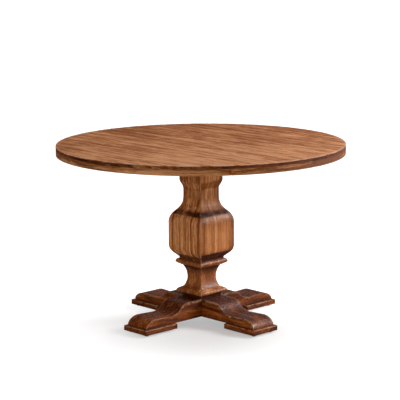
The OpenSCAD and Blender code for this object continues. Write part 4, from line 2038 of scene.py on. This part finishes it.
@dataclass
class Fastenings:
    """The screws, the tie rod with its washers and nuts, and the dowels and pins."""

    screws: WoodScrews
    steel: bpy.types.Material
    dowel: bpy.types.Material
    arris: float = 0.6 * MM

    def heads(self, node: str) -> list[Vector]:
        """Where the heads of a node's screws are."""
        return [Vector(((a.x + b.x) / 2, (a.y + b.y) / 2, a.z)) for a, b in solids_in(node)]

    def build(self) -> None:
        """Makes the screws by their rule and dresses the other fastenings."""
        for seed, node in enumerate(("batten_screws", "bearer_arm_screws", "foot_pad_screws")):
            low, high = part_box(node)
            a, b = solids_in(node)[0]
            piece = make_object(node, self.heads(node), [])
            sizes = {"Head": b.x - a.x, "Length": high.z - low.z, "Seed": seed + 3}
            self.screws.apply(piece, self.steel, **sizes)
            shaded(piece)
            join_frame(piece, [node], self.steel)
        for node in ("tie_rod", "tie_rod_washers", "tie_rod_nuts"):
            dress_node(node, self.steel, self.arris)
        for node in ("rim_dowels", "column_pins"):
            dress_node(node, self.dowel, self.arris)


def dress_node(node: str, material: bpy.types.Material, arris: float) -> None:
    """Gives a frame node its finish and eased arrises, and leaves its mesh as it is.

    Args:
        node: The node.
        material: Its finish.
        arris: How wide its arrises are eased.
    """
    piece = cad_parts[node]
    piece.data.materials.clear()
    piece.data.materials.append(material)
    weld = piece.modifiers.new("joined", "WELD")
    weld.merge_threshold = WELD
    bevel = piece.modifiers.new("eased", "BEVEL")
    bevel.width, bevel.segments, bevel.limit_method = arris, 2, "ANGLE"
    bevel.angle_limit = EASED_ANGLE
    normals = piece.modifiers.new("flat_faces", "WEIGHTED_NORMAL")
    normals.keep_sharp = True
    LOG.info("%s: the frame's own piece, with a new finish", node)


@dataclass
class Bearers:
    """The battens across the planks, and the bearer arms between the column and the top."""

    wood: dict[Axis, bpy.types.Material]
    arris: float = 1.5 * MM
    battens: tuple[str, ...] = ("batten_left", "batten_middle", "batten_right")
    arms: tuple[str, ...] = ("bearer_arm_x", "bearer_arm_y")

    def build(self) -> None:
        """Dresses the frame's own battens and arms, with the grain along each."""
        for node in (*self.battens, *self.arms):
            grain = Axis.X if node.endswith("_x") else Axis.Y
            dress_node(node, self.wood[grain], self.arris)


# ---------------------------------------------------------------- the studio


@dataclass(frozen=True)
class Lamp:
    """A soft round lamp that points at the middle of the table."""

    name: str
    power: float
    size: float
    place: tuple[float, float, float]
    gloss_only: bool = False
    target: tuple[float, float, float] = (0.0, 0.0, 0.45)

    def build(self) -> None:
        """Hangs the lamp."""
        light = bpy.data.lights.new(self.name, "AREA")
        light.shape, light.size, light.energy = "DISK", self.size, self.power
        lamp = add_object(self.name, light)
        lamp.location = self.place
        aim = Vector(self.target) - Vector(self.place)
        lamp.rotation_euler = aim.to_track_quat("-Z", "Y").to_euler()
        lamp.visible_diffuse = not self.gloss_only


def seen_directly(bench: Bench) -> Value:
    """Tells where the eye sees a surface itself, in a mirror or through glass.

    Args:
        bench: The tree that asks.

    Returns:
        1 where it does and 0 elsewhere.
    """
    rays = bench.node("ShaderNodeLightPath").outputs
    camera, glossy, through = (
        Value(bench, rays[f"Is {kind} Ray"]) for kind in ("Camera", "Glossy", "Transmission")
    )
    return (camera + glossy + through).at_most(1.0)


@dataclass(frozen=True)
class Studio:
    """A pale floor with a painted shadow round the table, a white surround that is brighter in
    front, and two soft lamps.
    """

    floor_radius: float = 40.0
    bounce: float = 0.8
    glow_and_painted_shadow: Point2 = (0.34, 0.97)
    painted_shadow_reach: Point2 = (0.0, 0.82)
    painted_shadow_centre: Point2 = (0.20, -0.16)
    shade: float = 0.42
    front_way: Point2 = (0.45, -0.89)
    front_blend: float = 0.7
    front_light: float = 1.35
    back_light: float = 0.13
    zenith_loss: float = 0.75
    lamps: tuple[Lamp, ...] = (
        Lamp("key_lamp", 335.0, 2.4, (2.75, 3.5, 3.1)),
        Lamp("gloss_card", 4600.0, 3.6, (2.6, 3.6, 3.0), gloss_only=True),
    )

    def _floor(self) -> None:
        """Lays the floor, which glows a little to the eye to be white and keep its shadow, and
        glows less round a point just in front of the table, a painted shadow.
        """
        edge = arc((0, 0), self.floor_radius, self.floor_radius, 0, 360, 96)[:-1]
        floor = make_object("studio_floor", [(*p, 0.0) for p in edge], [list(range(len(edge)))])
        shader = Shader("studio_floor")
        plain, seen = (
            shader.node("ShaderNodeBsdfDiffuse", inputs={"Color": (grey,) * 3})
            for grey in (self.bounce, self.shade)
        )
        # painted shadow: the floor's own light is dimmer towards a point just in front of the table
        x, y, _ = shader.split(shader.place())
        x, y = x - self.painted_shadow_centre[0], y - self.painted_shadow_centre[1]
        out_of_painted_shadow = ((x * x + y * y) ** 0.5).ramp(*self.painted_shadow_reach)
        strength = out_of_painted_shadow * (self.glow_and_painted_shadow[1] - self.glow_and_painted_shadow[0]) + self.glow_and_painted_shadow[0]
        glow_and_painted_shadow = shader.node("ShaderNodeEmission", inputs={"Color": WHITE, "Strength": strength})
        both = shader.node("ShaderNodeAddShader", inputs={0: seen.outputs[0], 1: glow_and_painted_shadow.outputs[0]})
        mixed = shader.node(
            "ShaderNodeMixShader",
            inputs={0: seen_directly(shader), 1: plain.outputs[0], 2: both.outputs[0]},
        )
        shader.node("ShaderNodeOutputMaterial", inputs={"Surface": mixed.outputs[0]})
        floor.data.materials.append(shader.material)

    def _surround(self) -> None:
        """Makes the white surround."""
        world = bpy.data.worlds.new("studio")
        world.use_nodes = True
        bench = Bench(world.node_tree)
        world.node_tree.nodes.clear()
        seen = seen_directly(bench)
        x, y, z = bench.split(bench.node("ShaderNodeTexCoord").outputs["Generated"])
        forward = x * self.front_way[0] + y * self.front_way[1]
        forward = forward.ramp(-self.front_blend, self.front_blend)
        light = (forward * (self.front_light - self.back_light) + self.back_light) * (
            1.0 - z.at_least(0.0) * self.zenith_loss
        )
        strength = seen + (1.0 - seen) * light
        sky = bench.node("ShaderNodeBackground", inputs={"Color": WHITE, "Strength": strength})
        bench.node("ShaderNodeOutputWorld", inputs={"Surface": sky.outputs[0]})
        bpy.context.scene.world = world

    def build(self) -> None:
        """Sets up the studio."""
        self._floor()
        self._surround()
        for lamp in self.lamps:
            lamp.build()
        bpy.context.scene.view_settings.view_transform = "Standard"


@dataclass(frozen=True)
class Camera:
    """Where the table is seen from."""

    azimuth: float = 46.588
    distance: float = 6.4503
    height: float = 1.71495
    pitch: float = 10.523
    yaw: float = 0.0435
    roll: float = 0.406
    lens: float = 139.225
    sensor: float = 36.0

    def build(self) -> None:
        """Sets up the camera."""
        data = bpy.data.cameras.new("camera")
        data.lens, data.sensor_width = self.lens, self.sensor
        camera = add_object("camera", data)
        bpy.context.scene.camera = camera
        turns = (self.azimuth, self.azimuth + self.yaw, self.pitch, self.roll)
        a, h, p, r = (math.radians(x) for x in turns)
        place = Vector((math.sin(a) * self.distance, -math.cos(a) * self.distance, self.height))
        ahead = Vector((-math.sin(h) * math.cos(p), math.cos(h) * math.cos(p), -math.sin(p)))
        right = ahead.cross(Vector((0, 0, 1))).normalized()
        up = right.cross(ahead)
        tipped_up = up * math.cos(r) + right * math.sin(r)
        tipped_right = ahead.cross(tipped_up)
        turn = Matrix((tipped_right, tipped_up, -ahead)).transposed()
        camera.matrix_world = Matrix.Translation(place) @ turn.to_4x4()


# ---------------------------------------------------------------- the whole table


def main() -> None:
    """Builds the table, its finishes and the studio, in order."""
    logging.basicConfig(level=logging.INFO, format="%(name)s: %(message)s")
    face = WoodFinish(
        "waxed_top", Axis.X, (0.185, 0.050, 0.0105), (0.358, 0.135, 0.047), (0.54, 0.248, 0.116),
        contrast=2.2, streak=170.0, rubbed=(0.62, 0.37, 0.23), sheen=0.8, specular=0.02,
    ).build()
    edge = WoodFinish(
        "waxed_rim", Axis.ROUND, (0.12, 0.036, 0.010), (0.33, 0.130, 0.043), (0.50, 0.23, 0.100),
        contrast=1.7, sheen=0.7, specular=0.015,
    ).build()
    column = WoodFinish(
        "waxed_column", Axis.Z, (0.17, 0.042, 0.006), (0.385, 0.135, 0.036), (0.58, 0.26, 0.105),
        contrast=1.5, sheen=0.48, specular=0.03, pitting=4.0, mottle=0.5, wander=5 * MM,
    ).build()
    foot = {
        grain: WoodFinish(
            f"dark_foot_{grain.name.lower()}", grain,
            (0.055, 0.011, 0.002), (0.185, 0.044, 0.007), (0.32, 0.098, 0.022),
            contrast=1.5, sheen=0.60, specular=0.022, pitting=9.0, mottle=1.0,
        ).build()
        for grain in (Axis.X, Axis.Y)
    }
    inner = {
        grain: WoodFinish(
            f"plain_inner_wood_{grain.name.lower()}", grain,
            (0.30, 0.19, 0.10), (0.42, 0.28, 0.16), (0.50, 0.36, 0.22),
        ).build()
        for grain in (Axis.X, Axis.Y)
    }
    dowel = WoodFinish(
        "pale_dowel", Axis.Z, (0.45, 0.32, 0.18), (0.58, 0.43, 0.26), (0.66, 0.52, 0.34)
    ).build()
    steel = SteelFinish(
        "plain_steel", (0.55, 0.55, 0.56), (0.30, 0.27, 0.24), metal=1.0, rough=0.4
    ).build()
    glide = SteelFinish(
        "blackened_steel", (0.05, 0.045, 0.042), (0.09, 0.07, 0.055), metal=0.6, rough=0.5
    ).build()

    PlankedTop().build(face, edge)
    CarvedColumn(SquareMoulding(), column, foot[Axis.X]).build()
    fastenings = Fastenings(WoodScrews(), steel, dowel)
    CrossedFoot(foot, glide, NailGlides()).build(fastenings.heads("foot_pad_screws"))
    fastenings.build()
    Bearers(inner).build()

    Studio().build()
    Camera().build()


if __name__ == "__main__":
    main()
